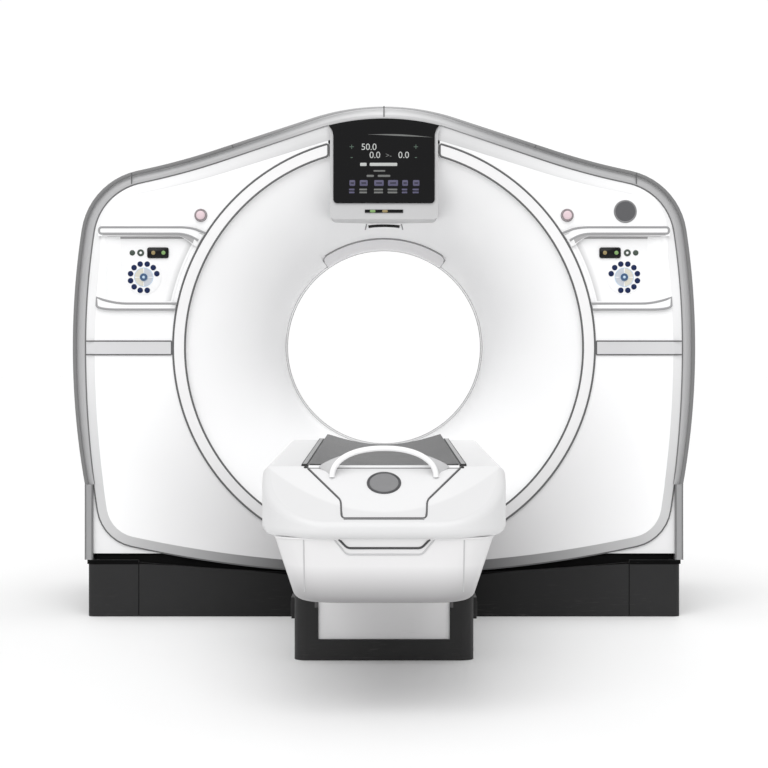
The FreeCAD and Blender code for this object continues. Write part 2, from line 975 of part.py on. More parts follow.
glass_half, glass_low = size("glass_half_width"), size("glass_bottom")
glass_corner = size("glass_corner")
glass_top_half = half + flare - size("glass_edge")
apex_rise = size("glass_apex") - size("glass_top_corner")
glass_arch = (glass_top_half * glass_top_half + apex_rise * apex_rise) / (2 * apex_rise)
glass_right = [
    (glass_half - glass_corner, glass_low),
    Bend(glass_corner, 1),
    (glass_half, glass_low + glass_corner),
    (glass_half, shoulder_height),
    Bend(size("glass_flare_radius"), -1),
    (glass_top_half, size("glass_top_corner")),
]
display_screen = new_body("display_screen", iso)
plate(
    display_screen,
    display_front + size("glass_wall"),
    display_front + seam,
    glass_right + [Bend(glass_arch, 1)] + reverse(mirrored(glass_right)),
)

strip_rise = size("lamp_strip_rise")
strip_half = size("lamp_strip_half_width")
box(
    "status_lamp_strip",
    (-strip_half, -display_front - size("lamp_strip_wall"), iso + strip_rise),
    (strip_half, -display_front - seam, iso + strip_rise + size("lamp_strip_height")),
)

# ---------------------------------------------------------------- control panels

panel_floor_front = front - size("panel_depth")
panel_back = panel_floor_front - size("panel_floor")
ledge_front = front + seam + size("ledge_depth")
panel_top, panel_bottom = size("panel_top"), size("panel_bottom")
panel_outer = size("panel_outer")
panel_middle = (leg(panel_inner, size("dial_rise")) + panel_outer) / 2
dial_side, dial_height = panel_middle - size("dial_shift"), iso + size("dial_rise")
start_hole = size("start_radius") + size("running_gap")


def ledge(low, high, drop):
    """The upper grip ledge: level, then curving down to the ring."""
    outer, ring = panel_outer + size("ledge_reach"), panel_inner + size("ledge_ring_gap")
    end_low, end_high = low - size("ledge_end_drop"), high - drop
    bend = leg(ring, end_high - iso) + size("ledge_bend_width")
    return [
        (outer, low),
        (outer, high),
        (bend, high),
        Bend(size("ledge_curve"), 1),
        (leg(ring, end_high - iso), end_high),
        (leg(ring, end_low - iso), end_low),
        Bend(size("ledge_under_curve"), -1),
        (bend, low),
    ]


def lower_ledge():
    top, bottom = panel_bottom + size("panel_rim"), panel_bottom - size("lower_ledge_height")
    outer, rise = panel_outer + size("lower_ledge_reach"), size("lower_ledge_flare")
    taper, ring = size("lower_ledge_taper"), panel_inner + size("ledge_ring_gap")
    return [
        (outer, bottom + rise / 2),
        (outer - taper, bottom),
        (leg(ring, bottom - iso), bottom),
        (leg(ring, top - iso), top),
        (outer - taper, top),
        (outer, top + rise),
    ]


for side, sign in SIDES:
    bezel = new_body("control_bezel_" + side)
    rim = size("panel_rim")
    flip = (lambda path: path) if sign > 0 else mirrored
    plate(bezel, front + seam, panel_back, flip(control_opening(as_size(0))))
    front_cut(bezel, front + seam, panel_floor_front, flip(control_opening(-rim)))
    upper = ledge(panel_top - rim, panel_top + size("ledge_height"), size("ledge_drop"))
    plate(bezel, ledge_front, front + seam, flip(upper))
    plate(bezel, ledge_front, front + seam, flip(lower_ledge()))
    dial_hole = Ring(sign * dial_side, dial_height, start_hole)
    front_cut(bezel, panel_floor_front + margin, panel_back - margin, dial_hole)

    start = new_body("start_button_" + side)
    plate(
        start,
        panel_floor_front + size("start_stand"),
        panel_back,
        Ring(sign * dial_side, dial_height, size("start_radius")),
    )
    stop = new_body("stop_button_" + side)
    stop_disc = Ring(sign * stop_side, stop_height, size("stop_radius"))
    plate(stop, front + size("stop_stand"), skin_back, stop_disc)

# one keypad each side: a thin round plate with raised keys in a ring that is open below
KEYS, KEY_STEP = 10, 30
KEY_SIDES, PLATE_SIDES, HOLE_SIDES = 6, 32, 16
keypads = doc.addObject("Part::Feature", "keypads")
key_solids = []


def disc_with_sides(sides, radius, middle, depth):
    """A flat prism that faces the front; round keys are drawn with few sides."""
    corners = []
    for number in range(sides + 1):
        turn = math.radians(360 * number / sides)
        corners.append(middle + Vector(math.cos(turn), 0, math.sin(turn)) * radius)
    return Part.Face(Part.makePolygon(corners)).extrude(Vector(0, -depth, 0))


for side, sign in SIDES:
    floor_front = (panel_floor_front + seam).value
    middle = Vector(sign * dial_side.value, -floor_front, dial_height.value)
    skin = size("dial_skin").value
    hole_radius = (start_hole + seam).value / math.cos(math.pi / HOLE_SIDES)
    pad_solid = disc_with_sides(PLATE_SIDES, size("dial_plate").value, middle, skin)
    pad_solid = pad_solid.cut(disc_with_sides(HOLE_SIDES, hole_radius, middle, skin))
    for number in range(KEYS):
        turn = math.radians(KEY_STEP * (number + 0.5))
        reach = Vector(-sign * math.cos(turn), 0, math.sin(turn)) * size("dial_radius").value
        rise = size("key_rise").value
        key = disc_with_sides(KEY_SIDES, size("key_radius").value, middle + reach, rise)
        pad_solid = pad_solid.fuse(key)
    key_solids.append(pad_solid.removeSplitter().Solids[0])
keypads.Shape = Part.makeCompound(key_solids)
finish("keypads", keypads)


def pair(name, front_edge, back_edge, path):
    """Two like plates, one on each side, in one node."""
    halves = []
    for side, sign in SIDES:
        body = doc.addObject("PartDesign::Body", "%s_%s" % (name, side))
        plate(body, front_edge, back_edge, path if sign > 0 else mirrored(path))
        halves.append(body)
    both = doc.addObject("Part::Compound", name)
    both.Links = halves
    doc.recompute()
    return finish(name, both)


lamp_half, lamp_side = size("lamp_width") / 2, dial_side - size("lamp_shift")
lamp_base = iso + size("lamp_rise") - size("lamp_height") / 2
pair(
    "lamp_windows",
    panel_floor_front + seam + size("lamp_wall"),
    panel_floor_front + seam,
    rectangle(
        lamp_side - lamp_half,
        lamp_side + lamp_half,
        lamp_base,
        lamp_base + size("lamp_height"),
    ),
)

# trim strips across the cover, following its bevel at the outer end
trim_halves = []
for side, sign in SIDES:
    strip = doc.addObject("PartDesign::Body", "trim_strip_" + side)
    strip_wall = size("strip_wall")
    cover_edge = WIDEST - cover_inset
    bevel_start = cover_edge - size("cover_bevel")
    tip = size("strip_tip")
    tip_depth = skin_front + size("cover_bevel_depth") * tip / size("cover_bevel") + seam
    strip_inner = size("ring_outer") + size("strip_ring_gap")
    section = [
        (strip_inner, -front - seam),
        (bevel_start, -front - seam),
        (cover_edge - tip, -tip_depth),
        (cover_edge - tip, -tip_depth - strip_wall),
        (bevel_start, -front - seam - strip_wall),
        (strip_inner, -front - seam - strip_wall),
    ]
    pad(
        strip,
        "XY_Plane",
        iso + size("strip_top") - size("strip_height"),
        size("strip_height"),
        section if sign > 0 else mirrored(section),
    )
    trim_halves.append(strip)
trim_strips = doc.addObject("Part::Compound", "trim_strips")
trim_strips.Links = trim_halves
doc.recompute()
finish("trim_strips", trim_strips)

# ---------------------------------------------------------------- lower covers of the gantry

side_panel_outer = side_foot(as_size(0), size("band_foot"))[-1][0]
cover_foot = side_foot(cover_inset, size("band_foot"), cover_side_radius())[-1][0]
side_panel_inner = cover_foot + size("side_panel_gap")
for side, sign in SIDES:
    path = rectangle(
        side_panel_inner,
        side_panel_outer,
        size("base_height") + seam,
        size("band_foot") - seam,
    )
    body = new_body("side_panel_" + side)
    plate(body, band_front, -band_back, path if sign > 0 else mirrored(path))

pair(
    "corner_panels",
    skin_back - seam,
    skin_back - seam - size("corner_panel_wall"),
    rectangle(
        size("corner_panel_inner"),
        side_panel_inner - seam,
        size("corner_panel_bottom"),
        size("band_foot") - seam,
    ),
)

base_front = front - size("base_set_back")
base_half = side_panel_inner + size("base_reach")
base_seam = base_half - size("base_side_width")
base_wall = size("base_cover_wall")


def base_face(sag):
    """The front or rear of the plinth, with its top edge dipping in the middle."""
    arch = (base_seam * base_seam + sag * sag) / (2 * sag)
    top = size("base_side_top")
    return [(-base_seam, top), (-base_seam, 0), (base_seam, 0), (base_seam, top), Bend(arch, -1)]


plate(new_body("base_cover_front"), base_front, base_front - base_wall, base_face(size("base_sag")))
plate(
    new_body("base_cover_rear"),
    base_wall - base_front,
    -base_front,
    base_face(size("rear_base_sag")),
)
base_corner, base_side = size("base_corner"), base_half - size("base_side_wall")
for side, sign in SIDES:
    plan = [
        (base_seam + seam, -base_front),
        (base_half - base_corner, -base_front),
        Bend(base_corner, 1),
        (base_half, base_corner - base_front),
        (base_half, base_front - base_corner),
        Bend(base_corner, 1),
        (base_half - base_corner, base_front),
        (base_seam + seam, base_front),
        (base_seam + seam, base_front - base_wall),
        (base_side, base_front - base_wall),
        (base_side, base_wall - base_front),
        (base_seam + seam, base_wall - base_front),
    ]
    body = new_body("base_cover_" + side)
    pad(body, "XY_Plane", 0, size("base_height"), plan if sign > 0 else mirrored(plan))

# ---------------------------------------------------------------- steel inside the gantry

base_frame = new_body("gantry_base_frame")
plate_x, plate_y = base_half - size("floor_plate_inset"), size("floor_plate_half_depth")
beam_x, beam = plate_x - size("beam_inset"), size("beam_width")
bolt_x = plate_x - size("gantry_bolt_inset")
pad(
    base_frame,
    "XY_Plane",
    0,
    size("floor_plate"),
    rectangle(-plate_x, plate_x, -plate_y, plate_y),
    *[
        Ring(across * bolt_x, back * size("gantry_bolt_back"), size("gantry_bolt_radius"))
        for across in (-1, 1)
        for back in (-1, 1)
    ],
)
pad(
    base_frame,
    "XY_Plane",
    size("floor_plate"),
    size("beam_top") - size("floor_plate"),
    rectangle(-beam_x, beam_x, -plate_y, plate_y),
    rectangle(beam - beam_x, beam_x - beam, beam - plate_y, plate_y - beam),
)
# brackets that carry the base covers
bracket = base_front - base_wall - seam
bracket_outer = beam_x - size("bracket_inset")
bracket_inner = bracket_outer - size("bracket_width")
for near in (plate_y, -bracket):
    pad(
        base_frame,
        "XY_Plane",
        0,
        size("floor_plate"),
        rectangle(-bracket_outer, -bracket_inner, near, near + bracket - plate_y),
        rectangle(bracket_inner, bracket_outer, near, near + bracket - plate_y),
    )
side_bracket = base_side - seam
half_bracket = size("bracket_width") / 2
for low in (plate_x, -side_bracket):
    pad(
        base_frame,
        "XY_Plane",
        0,
        size("floor_plate"),
        rectangle(low, low + side_bracket - plate_x, -half_bracket, half_bracket),
    )

stator_outer, stator_bore = size("stator_outer"), size("stator_bore")
stator_front, stator_wall = size("stator_front"), size("stator_wall")
stator_back = stator_front + stator_wall
stator = new_body("stator_frame", iso)
revolve(stator, rectangle(stator_front, stator_back, stator_bore, stator_outer))
leg_drop = iso - size("beam_top") - seam
for sign in (-1, 1):
    foot = [
        (size("leg_inner"), -leg_drop),
        (size("leg_outer"), -leg_drop),
        (size("leg_outer") - size("leg_outer_taper"), size("leg_outer_rise") - leg_drop),
        (size("leg_inner") + size("leg_inner_taper"), size("leg_inner_rise") - leg_drop),
    ]
    pad(stator, "XZ_Plane", -stator_back, stator_wall, foot if sign > 0 else mirrored(foot))

hub, hub_wall = size("hub_radius"), size("hub_wall")
disc_front, disc_wall = size("disc_front"), size("disc_wall")
drum = new_body("rotor_drum", iso)
revolve(
    drum,
    [
        (disc_front, hub - hub_wall),
        (disc_front, size("disc_outer")),
        (disc_front + disc_wall, size("disc_outer")),
        (disc_front + disc_wall, hub),
        (size("hub_rear"), hub),
        (size("hub_rear"), hub - hub_wall),
    ],
)
race = new_body("bearing_outer_race", iso)
race_front = size("bearing_front")
revolve(
    race,
    rectangle(
        race_front,
        race_front + size("bearing_width"),
        hub + size("running_gap"),
        stator_bore - seam,
    ),
)
slip = new_body("slip_ring", iso)
slip_front = size("hub_rear") + seam
slip_back = slip_front + size("slip_wall")
revolve(slip, rectangle(slip_front, slip_back, size("slip_inner"), size("slip_outer")))
brush = new_body("brush_block", iso)
brush_low, brush_back = size("slip_outer") + size("brush_lift"), stator_back + size("brush_back")
brush_top, brush_tip = size("slip_outer") + size("brush_reach"), size("slip_outer") - size("brush_lap")
pad(
    brush,
    "YZ_Plane",
    0,
    size("brush_width"),
    [
        (stator_back + seam, brush_low),
        (stator_back + seam, brush_top),
        (brush_back, brush_top),
        (brush_back, brush_tip),
        (slip_back + seam, brush_tip),
        (slip_back + seam, brush_low),
    ],
    midplane=True,
)

tube = new_body("xray_tube", iso + size("tube_reach"))
tube_r, tube_end = size("tube_radius"), disc_front - seam
revolve(tube, rectangle(tube_end - size("tube_length"), tube_end, 0, tube_r))

# the generator and its cooler face each other across the rotor, so that they balance
unit_length, unit_depth = size("generator_length"), size("generator_depth")
unit_height = size("generator_height")
units = []
for side, sign in SIDES:
    block = doc.addObject("Part::Box", "rotor_unit_" + side)
    low = size("tube_reach") - unit_height / 2
    bind(block, "Length", unit_height)
    bind(block, "Width", unit_depth)
    bind(block, "Height", unit_length)
    bind(block, "Placement.Base.x", low if sign > 0 else -low - unit_height)
    bind(block, "Placement.Base.y", disc_front - seam - unit_depth)
    bind(block, "Placement.Base.z", iso - unit_length / 2)
    units.append(block)
rotor_units = doc.addObject("Part::Compound", "generator_and_cooler")
rotor_units.Links = units
doc.recompute()
finish("generator_and_cooler", rotor_units)

detector = new_body("detector_array", iso)
detector_back = disc_front - seam
revolve(
    detector,
    rectangle(
        detector_back - size("detector_depth"),
        detector_back,
        -size("detector_outer"),
        -size("detector_inner"),
    ),
    size("detector_angle"),
)

cabinet_outer, cabinet_width = base_side - size("cabinet_gap"), size("cabinet_width")
cabinet_half, cabinet_top = size("cabinet_depth") / 2, size("beam_top") + size("cabinet_height")
for name, left in (("power_unit", -cabinet_outer), ("control_unit", cabinet_outer - cabinet_width)):
    box(
        name,
        (left, -cabinet_half, size("beam_top") + seam),
        (left + cabinet_width, cabinet_half, cabinet_top),
    )

# ---------------------------------------------------------------- table base and lift

table_half, beam_inner = size("table_half_width"), size("table_beam_inner")
table_front, table_rear = size("table_base_front"), front + seam
table_plate = size("table_floor_plate")
bar_height, bar_width = size("table_bar_height"), size("table_bar_width")
column_middle = (size("column_front") + size("column_rear")) / 2
table_corner = size("table_corner")
table_frame = new_body("table_base_frame")
pad(
    table_frame,
    "XY_Plane",
    0,
    table_plate,
    [
        (-table_half, -table_rear),
        (-table_half, table_corner - table_front),
        Bend(table_corner, 1),
        (table_corner - table_half, -table_front),
        (table_half - table_corner, -table_front),
        Bend(table_corner, 1),
        (table_half, table_corner - table_front),
        (table_half, -table_rear),
    ],
    *[
        Ring(
            across * size("table_bolt_side"),
            back * size("table_bolt_back") - column_middle,
            size("table_bolt_radius"),
        )
        for across in (-1, 1)
        for back in (-1, 1)
    ],
)
beam_height = size("table_beam_height")
for sign in (-1, 1):
    beam_plan = [
        (beam_inner, -table_front),
        (table_half - table_corner, -table_front),
        Bend(table_corner, 1),
        (table_half, table_corner - table_front),
        (table_half, -table_rear),
        (beam_inner, -table_rear),
    ]
    pad(
        table_frame,
        "XY_Plane",
        table_plate,
        beam_height - table_plate,
        beam_plan if sign > 0 else mirrored(beam_plan),
    )
for near in (-table_front, -table_rear - bar_width):
    pad(
        table_frame,
        "XY_Plane",
        table_plate,
        bar_height - table_plate,
        rectangle(-beam_inner, beam_inner, near, near + bar_width),
    )
panel_front = size("base_panel_set_back") - table_front
box(
    "table_base_panel",
    (seam - beam_inner, panel_front, bar_height + seam),
    (beam_inner - seam, panel_front + size("base_panel_wall"), beam_height),
)
pedal_bottom, pedal_front = size("pedal_bottom"), size("pedal_front")
pedal_back, pedal_top = pedal_front - size("pedal_length"), pedal_bottom + size("pedal_height")
low_corner, top_corner = size("pedal_lower_corner"), size("pedal_upper_corner")
for side, sign in SIDES:
    body = new_body("foot_pedal_" + side)
    pedal = [
        (-pedal_front, pedal_bottom + low_corner),
        (low_corner - pedal_front, pedal_bottom),
        (-pedal_back - low_corner, pedal_bottom),
        (-pedal_back, pedal_bottom + low_corner),
        (-pedal_back, pedal_top - top_corner),
        (-pedal_back - top_corner, pedal_top),
        (top_corner - pedal_front, pedal_top),
        (-pedal_front, pedal_top - top_corner),
    ]
    if sign > 0:
        offset = table_half + seam
    else:
        offset = -(table_half + seam) - size("pedal_width")
    pad(body, "YZ_Plane", offset, size("pedal_width"), pedal)

# three telescoping columns; the middle one rises half as far as the inner one
column_half, column_wall = size("column_half_width"), size("column_wall")
column_gap = size("column_floor_gap")
lift_down, lift_up = size("lift_down"), size("lift_up")


def column_plan(inset):
    return rectangle(
        inset - column_half,
        column_half - inset,
        inset - size("column_front"),
        -size("column_rear") - inset,
    )


def column(name, number, bottom, top):
    """A square tube; number counts inwards."""
    inset = (column_wall + seam) * number
    body = new_body(name)
    outer = column_plan(inset)
    pad(body, "XY_Plane", bottom, top - bottom, outer, column_plan(inset + column_wall))
    return body, outer


lug = size("column_lug")
outer_bottom, outer_top = table_plate + seam, size("column_top")
middle_rest = lift_down / 2
middle_bottom = table_plate + column_gap + middle_rest
middle_top = outer_top + column_gap + lug + middle_rest
inner_bottom = table_plate + 4 * column_gap + lift_down
inner_top = size("frame_bottom") - seam
column("lift_column_outer", 0, outer_bottom, outer_top)
middle_column, middle_plan = column("lift_column_middle", 1, middle_bottom, middle_top)
inner_column, inner_plan = column("lift_column_inner", 2, inner_bottom, inner_top)
pad(inner_column, "XY_Plane", inner_top - column_wall, column_wall, inner_plan)

# the lift's actuator stands behind the columns and pushes up a lug on the middle one
actuator_r, rod_r = size("actuator_radius"), size("actuator_rod_radius")
actuator_back = size("actuator_back")
lug_bottom = middle_top - lug
middle_rear = size("column_rear") + column_wall + seam
lug_half = actuator_r + size("column_lug_margin")
pad(
    middle_column,
    "XY_Plane",
    lug_bottom,
    lug,
    rectangle(-lug_half, lug_half, -middle_rear - column_wall / 2, actuator_r - actuator_back),
)
actuator = new_body("lift_actuator_housing")
pad(
    actuator,
    "XY_Plane",
    outer_bottom,
    outer_top - outer_bottom,
    Ring(0, -actuator_back, actuator_r),
)
pocket(
    actuator,
    "XY_Plane",
    outer_top,
    outer_top - outer_bottom - column_wall,
    Ring(0, -actuator_back, rod_r + size("running_gap")),
)
rod = new_body("lift_actuator_rod")
rod_bottom = outer_bottom + column_wall + column_gap + middle_rest
pad(
    rod,
    "XY_Plane",
    rod_bottom,
    lug_bottom - seam - rod_bottom,
    Ring(0, -actuator_back, rod_r),
)

# ---------------------------------------------------------------- table top

frame_bottom, frame_plate = size("frame_bottom"), size("frame_plate")
cradle_half = size("cradle_half_width")
frame_inner = cradle_half + size("cradle_side_gap")
frame_outer = frame_inner + size("frame_wall")
frame_front, frame_rear = size("frame_front"), size("frame_rear")
rail_bottom, rail_top = size("rail_bottom"), size("rail_top")
frame = new_body("table_top_frame")
plate(
    frame,
    frame_front,
    frame_rear,
    [
        (-frame_outer, frame_bottom),
        (frame_outer, frame_bottom),
        (frame_outer, rail_bottom - seam),
        (frame_inner, rail_bottom - seam),
        (frame_inner, frame_bottom + frame_plate),
        (-frame_inner, frame_bottom + frame_plate),
        (-frame_inner, rail_bottom - seam),
        (-frame_outer, rail_bottom - seam),
    ],
)

# the cradle's underside is flat in the middle and then follows the bore
under_radius = size("bore_radius") - size("cradle_bore_gap")
keel = size("cradle_keel")
keel_height = iso - leg(under_radius, keel)
cradle_sag = size("cradle_edge_top") - size("cradle_centre_top")
top_radius = (cradle_half * cradle_half + cradle_sag * cradle_sag) / (2 * cradle_sag)
cradle_near, cradle_far = size("cradle_near"), size("cradle_far")
roller_height = keel_height - size("roller_radius") - size("roller_gap")
axle_r = size("axle_radius")
ear_inner = size("roller_half_length") + size("ear_gap")
ear_outer = ear_inner + size("ear_wall")
roller_back, ear_depth = size("roller_back"), size("ear_half_depth")
for sign in (-1, 1):
    low = ear_inner if sign > 0 else -ear_outer
    ear = [
        (-roller_back - ear_depth, frame_bottom + frame_plate - weld),
        (ear_depth - roller_back, frame_bottom + frame_plate - weld),
        (ear_depth - roller_back, roller_height),
        Bend(ear_depth * 1.05, 1),
        (-roller_back - ear_depth, roller_height),
    ]
    ear_hole = Ring(-roller_back, roller_height, axle_r + size("running_gap"))
    pad(frame, "YZ_Plane", low, size("ear_wall"), ear, ear_hole)

roller = new_body("cradle_roller")
pad(
    roller,
    "YZ_Plane",
    0,
    2 * size("roller_half_length"),
    Ring(-roller_back, roller_height, size("roller_radius")),
    midplane=True,
)
axle_length = 2 * (ear_outer - size("axle_recess"))
axle = Ring(-roller_back, roller_height, axle_r)
pad(roller, "YZ_Plane", 0, axle_length, axle, midplane=True)

pair(
    "cradle_rails",
    frame_front,
    frame_rear,
    rectangle(frame_inner, frame_outer, rail_bottom, rail_top),
)

cradle = new_body("cradle")
edge_bottom = iso - leg(under_radius, cradle_half)
plate(
    cradle,
    cradle_near - seam,
    cradle_far,
    [
        (-keel, keel_height),
        (keel, keel_height),
        Bend(under_radius, 1),
        (cradle_half, edge_bottom),
        (cradle_half, size("cradle_edge_top")),
        Bend(top_radius, -1),
        (-cradle_half, size("cradle_edge_top")),
        (-cradle_half, edge_bottom),
        Bend(under_radius, 1),
    ],
)
corner = size("cradle_corner")
cradle_depth = size("cradle_edge_top") - keel_height + 2 * margin
for sign in (-1, 1):
    cut = [
        (cradle_half + margin, margin - cradle_far),
        (cradle_half + margin, -cradle_far - corner),
        (cradle_half, -cradle_far - corner),
        Bend(corner, 1),
        (cradle_half - corner, -cradle_far),
        (cradle_half - corner, margin - cradle_far),
    ]
    pocket(
        cradle,
        "XY_Plane",
        size("cradle_edge_top") + margin,
        cradle_depth,
        cut if sign > 0 else mirrored(cut),
    )

# the white cap at the cradle's near end, on the nose's slope
cap_top = size("nose_top")
slope = size("nose_slope")
nose_front, nose_half = size("nose_front"), size("nose_half_width")
slope_drop = (nose_front + margin - cradle_near) * sine(slope) / cosine(slope)


def cut_slope(body):
    """Takes away all that stands over the nose's sloping face."""
    above = [
        (-cradle_near, cap_top),
        (-nose_front - margin, cap_top - slope_drop),
        (-nose_front - margin, cap_top + 2 * margin),
        (-cradle_near, cap_top + 2 * margin),
    ]
    pocket(body, "YZ_Plane", 0, 2 * (nose_half + margin), above, midplane=True)


def cap_section(gap, top):
    shoulder, foot = size("cap_shoulder_half_width") + gap, size("cap_foot_half_width") + gap
    rim = cap_top - size("cap_rim") - gap
    return [
        (-foot, size("cap_bottom") - gap),
        (foot, size("cap_bottom") - gap),
        (shoulder, size("cap_shoulder") - gap),
        (cradle_half + gap, rim),
        (cradle_half + gap, top),
        (-cradle_half - gap, top),
        (-cradle_half - gap, rim),
        (-shoulder, size("cap_shoulder") - gap),
    ]


cap = new_body("cradle_end_cap")
plate(cap, size("cap_front"), cradle_near, cap_section(as_size(0), cap_top + margin))
cut_slope(cap)
handle_back, handle_foot = size("handle_back"), size("handle_foot")
handle_radius = size("handle_radius")
handle_centre = size("handle_top") - handle_radius
handle_span = leg(handle_radius, handle_foot - handle_centre)
pad(
    cap,
    "XY_Plane",
    handle_foot - size("handle_boss_depth"),
    size("handle_boss_depth"),
    Ring(-handle_span, -handle_back, size("handle_boss")),
    Ring(handle_span, -handle_back, size("handle_boss")),
)

# the arched handle, cut level where it stands on the cap
handle = new_body("cradle_handle", handle_centre)
tube_half = size("handle_tube")
tube_side = tube_half * math.tan(math.radians(22.5))
revolve(
    handle,
    [
        (across - handle_back, up + handle_radius)
        for across, up in (
            (tube_half, tube_side),
            (tube_side, tube_half),
            (-tube_side, tube_half),
            (-tube_half, tube_side),
            (-tube_half, -tube_side),
            (-tube_side, -tube_half),
            (tube_side, -tube_half),
            (tube_half, -tube_side),
        )
    ],
    size("handle_sweep"),
)
foot_level = handle_foot + seam - handle_centre
foot_reach, foot_side = handle_radius + tube_half + margin, tube_half + margin
pocket(
    handle,
    "XY_Plane",
    foot_level,
    foot_level,
    rectangle(-foot_reach, foot_reach, -handle_back - foot_side, foot_side - handle_back),
)

# nose cover: one moulding round the near end and along both sides of the cradle
nose = new_body("nose_cover")
nose_corner, nose_bottom, nose_rear = size("nose_corner"), size("nose_bottom"), size("nose_rear")
pad(
    nose,
    "XY_Plane",
    nose_bottom,
    cap_top - nose_bottom,
    [
        (-nose_half, -nose_rear),
        (-nose_half, nose_corner - nose_front),
        Bend(nose_corner, 1),
        (nose_corner - nose_half, -nose_front),
        (nose_half - nose_corner, -nose_front),
        Bend(nose_corner, 1),
        (nose_half, nose_corner - nose_front),
        (nose_half, -nose_rear),
    ],
)
cut_slope(nose)


def on_nose_rim(edge):
    """The edges round the outside of the moulding, above and below, but not the upright ones."""
    middle = edge.valueAt((edge.FirstParameter + edge.LastParameter) / 2)
    upright = edge.BoundBox.XLength < 0.01 and edge.BoundBox.YLength < 0.01
    on_side = abs(middle.x) > nose_half.value - 1
    return not upright and (on_side or middle.y < (nose_corner - nose_front).value)


round_edges(nose, size("nose_soft_edge"), on_nose_rim)
nose_gap = frame_outer + seam
pocket(
    nose,
    "XY_Plane",
    cap_top + margin,
    cap_top + 2 * margin - nose_bottom,
    rectangle(-nose_gap, nose_gap, -frame_front - seam, margin - nose_rear),
)
front_cut(
    nose,
    size("cap_front") + size("cap_gap"),
    frame_front,
    cap_section(size("cap_gap"), cap_top + margin),
)
nose_skin, near_wall = size("nose_skin"), size("nose_near_wall")
for sign in (-1, 1):
    arm = [
        (nose_gap + nose_skin, near_wall - frame_front),
        (nose_half - nose_skin, near_wall - frame_front),
        (nose_half - nose_skin, -nose_rear - nose_skin),
        (nose_gap + nose_skin, -nose_rear - nose_skin),
    ]
    pocket(
        nose,
        "XY_Plane",
        cap_top - nose_skin,
        cap_top - nose_skin - nose_bottom + margin,
        arm if sign > 0 else mirrored(arm),
    )

# belly cover under the nose: a tub whose sides taper, with a rounded bottom edge
belly = new_body("belly_cover")
belly_corner, belly_half = size("belly_corner"), size("belly_half_width")
belly_near, belly_far = size("belly_front"), size("belly_rear")
belly_top = nose_bottom - seam
belly_depth = belly_top - size("belly_bottom")
belly_edge, taper = size("belly_soft_edge"), size("belly_taper")
slant = sine(taper) / cosine(taper)
half_turn = (90 - taper) / 2
edge_run = belly_edge * sine(half_turn) / cosine(half_turn)
edge_bulge = belly_edge / cosine(half_turn) - belly_edge
CORNER_CHORDS = 4


def tub(inset):
    """The tub's outline seen from above; its near corners are rounded with equal chords."""
    radius, half, near = belly_corner - inset, belly_half - inset, belly_near - inset
    right = [(half, -belly_far - inset)]
    for number in range(CORNER_CHORDS + 1):
        turn = math.radians(90 * number / CORNER_CHORDS)
        across = half - radius * (1 - math.cos(turn))
        right.append((across, radius * (1 - math.sin(turn)) - near))
    return right + mirrored(right)[::-1]


def tub_sketches(body, name, levels):
    return [
        sketch_on(body, "%s_%d" % (name, number), "XY_Plane", height, tub(inset))
        for number, (height, inset) in enumerate(levels)
    ]


edge_start = edge_run * cosine(taper)
loft(
    belly,
    *tub_sketches(
        belly,
        "belly_outside",
        [
            (belly_top, as_size(0)),
            (belly_top - belly_depth + edge_start, (belly_depth - edge_start) * slant),
            (
                belly_top - belly_depth + edge_bulge * cosine(half_turn),
                belly_depth * slant + edge_bulge * sine(half_turn),
            ),
            (belly_top - belly_depth, belly_depth * slant + edge_run),
        ],
    ),
)
inside_depth = belly_depth - size("belly_floor")
loft(
    belly,
    *tub_sketches(
        belly,
        "belly_inside",
        [
            (belly_top + margin, size("belly_wall") - margin * slant),
            (belly_top - inside_depth, size("belly_wall") + inside_depth * slant),
        ],
    ),
    cut=True,
)

# ---------------------------------------------------------------- check and write

doc.recompute()
for item in doc.Objects:
    if any(word in ("Invalid", "Error") for word in item.State):
        raise RuntimeError("%s failed: %s" % (item.Label, item.State))
os.makedirs("parts", exist_ok=True)
for name, node in nodes.items():
    shape = node.Shape
    if shape.isNull() or not shape.isValid() or not shape.Solids:
        raise RuntimeError("%s has no valid solid" % name)
    shape.exportStep("parts/%s.step" % name)
print(len(nodes), "nodes written")
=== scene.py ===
import math

import bpy
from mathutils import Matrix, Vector


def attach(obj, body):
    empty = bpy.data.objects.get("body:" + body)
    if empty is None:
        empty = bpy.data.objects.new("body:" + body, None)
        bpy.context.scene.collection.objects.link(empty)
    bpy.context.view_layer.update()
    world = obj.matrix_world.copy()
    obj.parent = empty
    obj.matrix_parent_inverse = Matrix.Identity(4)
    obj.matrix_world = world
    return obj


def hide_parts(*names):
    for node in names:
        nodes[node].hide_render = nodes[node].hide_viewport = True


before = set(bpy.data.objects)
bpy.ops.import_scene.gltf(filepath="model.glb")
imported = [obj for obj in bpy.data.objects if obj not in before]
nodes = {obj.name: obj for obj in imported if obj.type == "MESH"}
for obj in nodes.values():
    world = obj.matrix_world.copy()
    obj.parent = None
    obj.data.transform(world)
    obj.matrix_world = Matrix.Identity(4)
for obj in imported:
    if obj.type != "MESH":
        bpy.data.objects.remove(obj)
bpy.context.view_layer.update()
isoHeight = 1.020
sides = {"left": -1, "right": 1}
bpy.ops.object.select_all(action="DESELECT")


# camera, floor and light

camera = {"place": (0.0, -7.75, 1.020), "lens": 89.1, "shiftUp": -0.0479}
cameraData = bpy.data.cameras.new("photoCamera")
cameraData.lens = camera["lens"]
cameraData.sensor_width = 36
cameraData.shift_y = camera["shiftUp"]
cameraObject = bpy.data.objects.new("photoCamera", cameraData)
cameraObject.location = camera["place"]
cameraObject.rotation_euler = (math.radians(90), 0, 0)
bpy.context.scene.collection.objects.link(cameraObject)
bpy.context.scene.camera = cameraObject

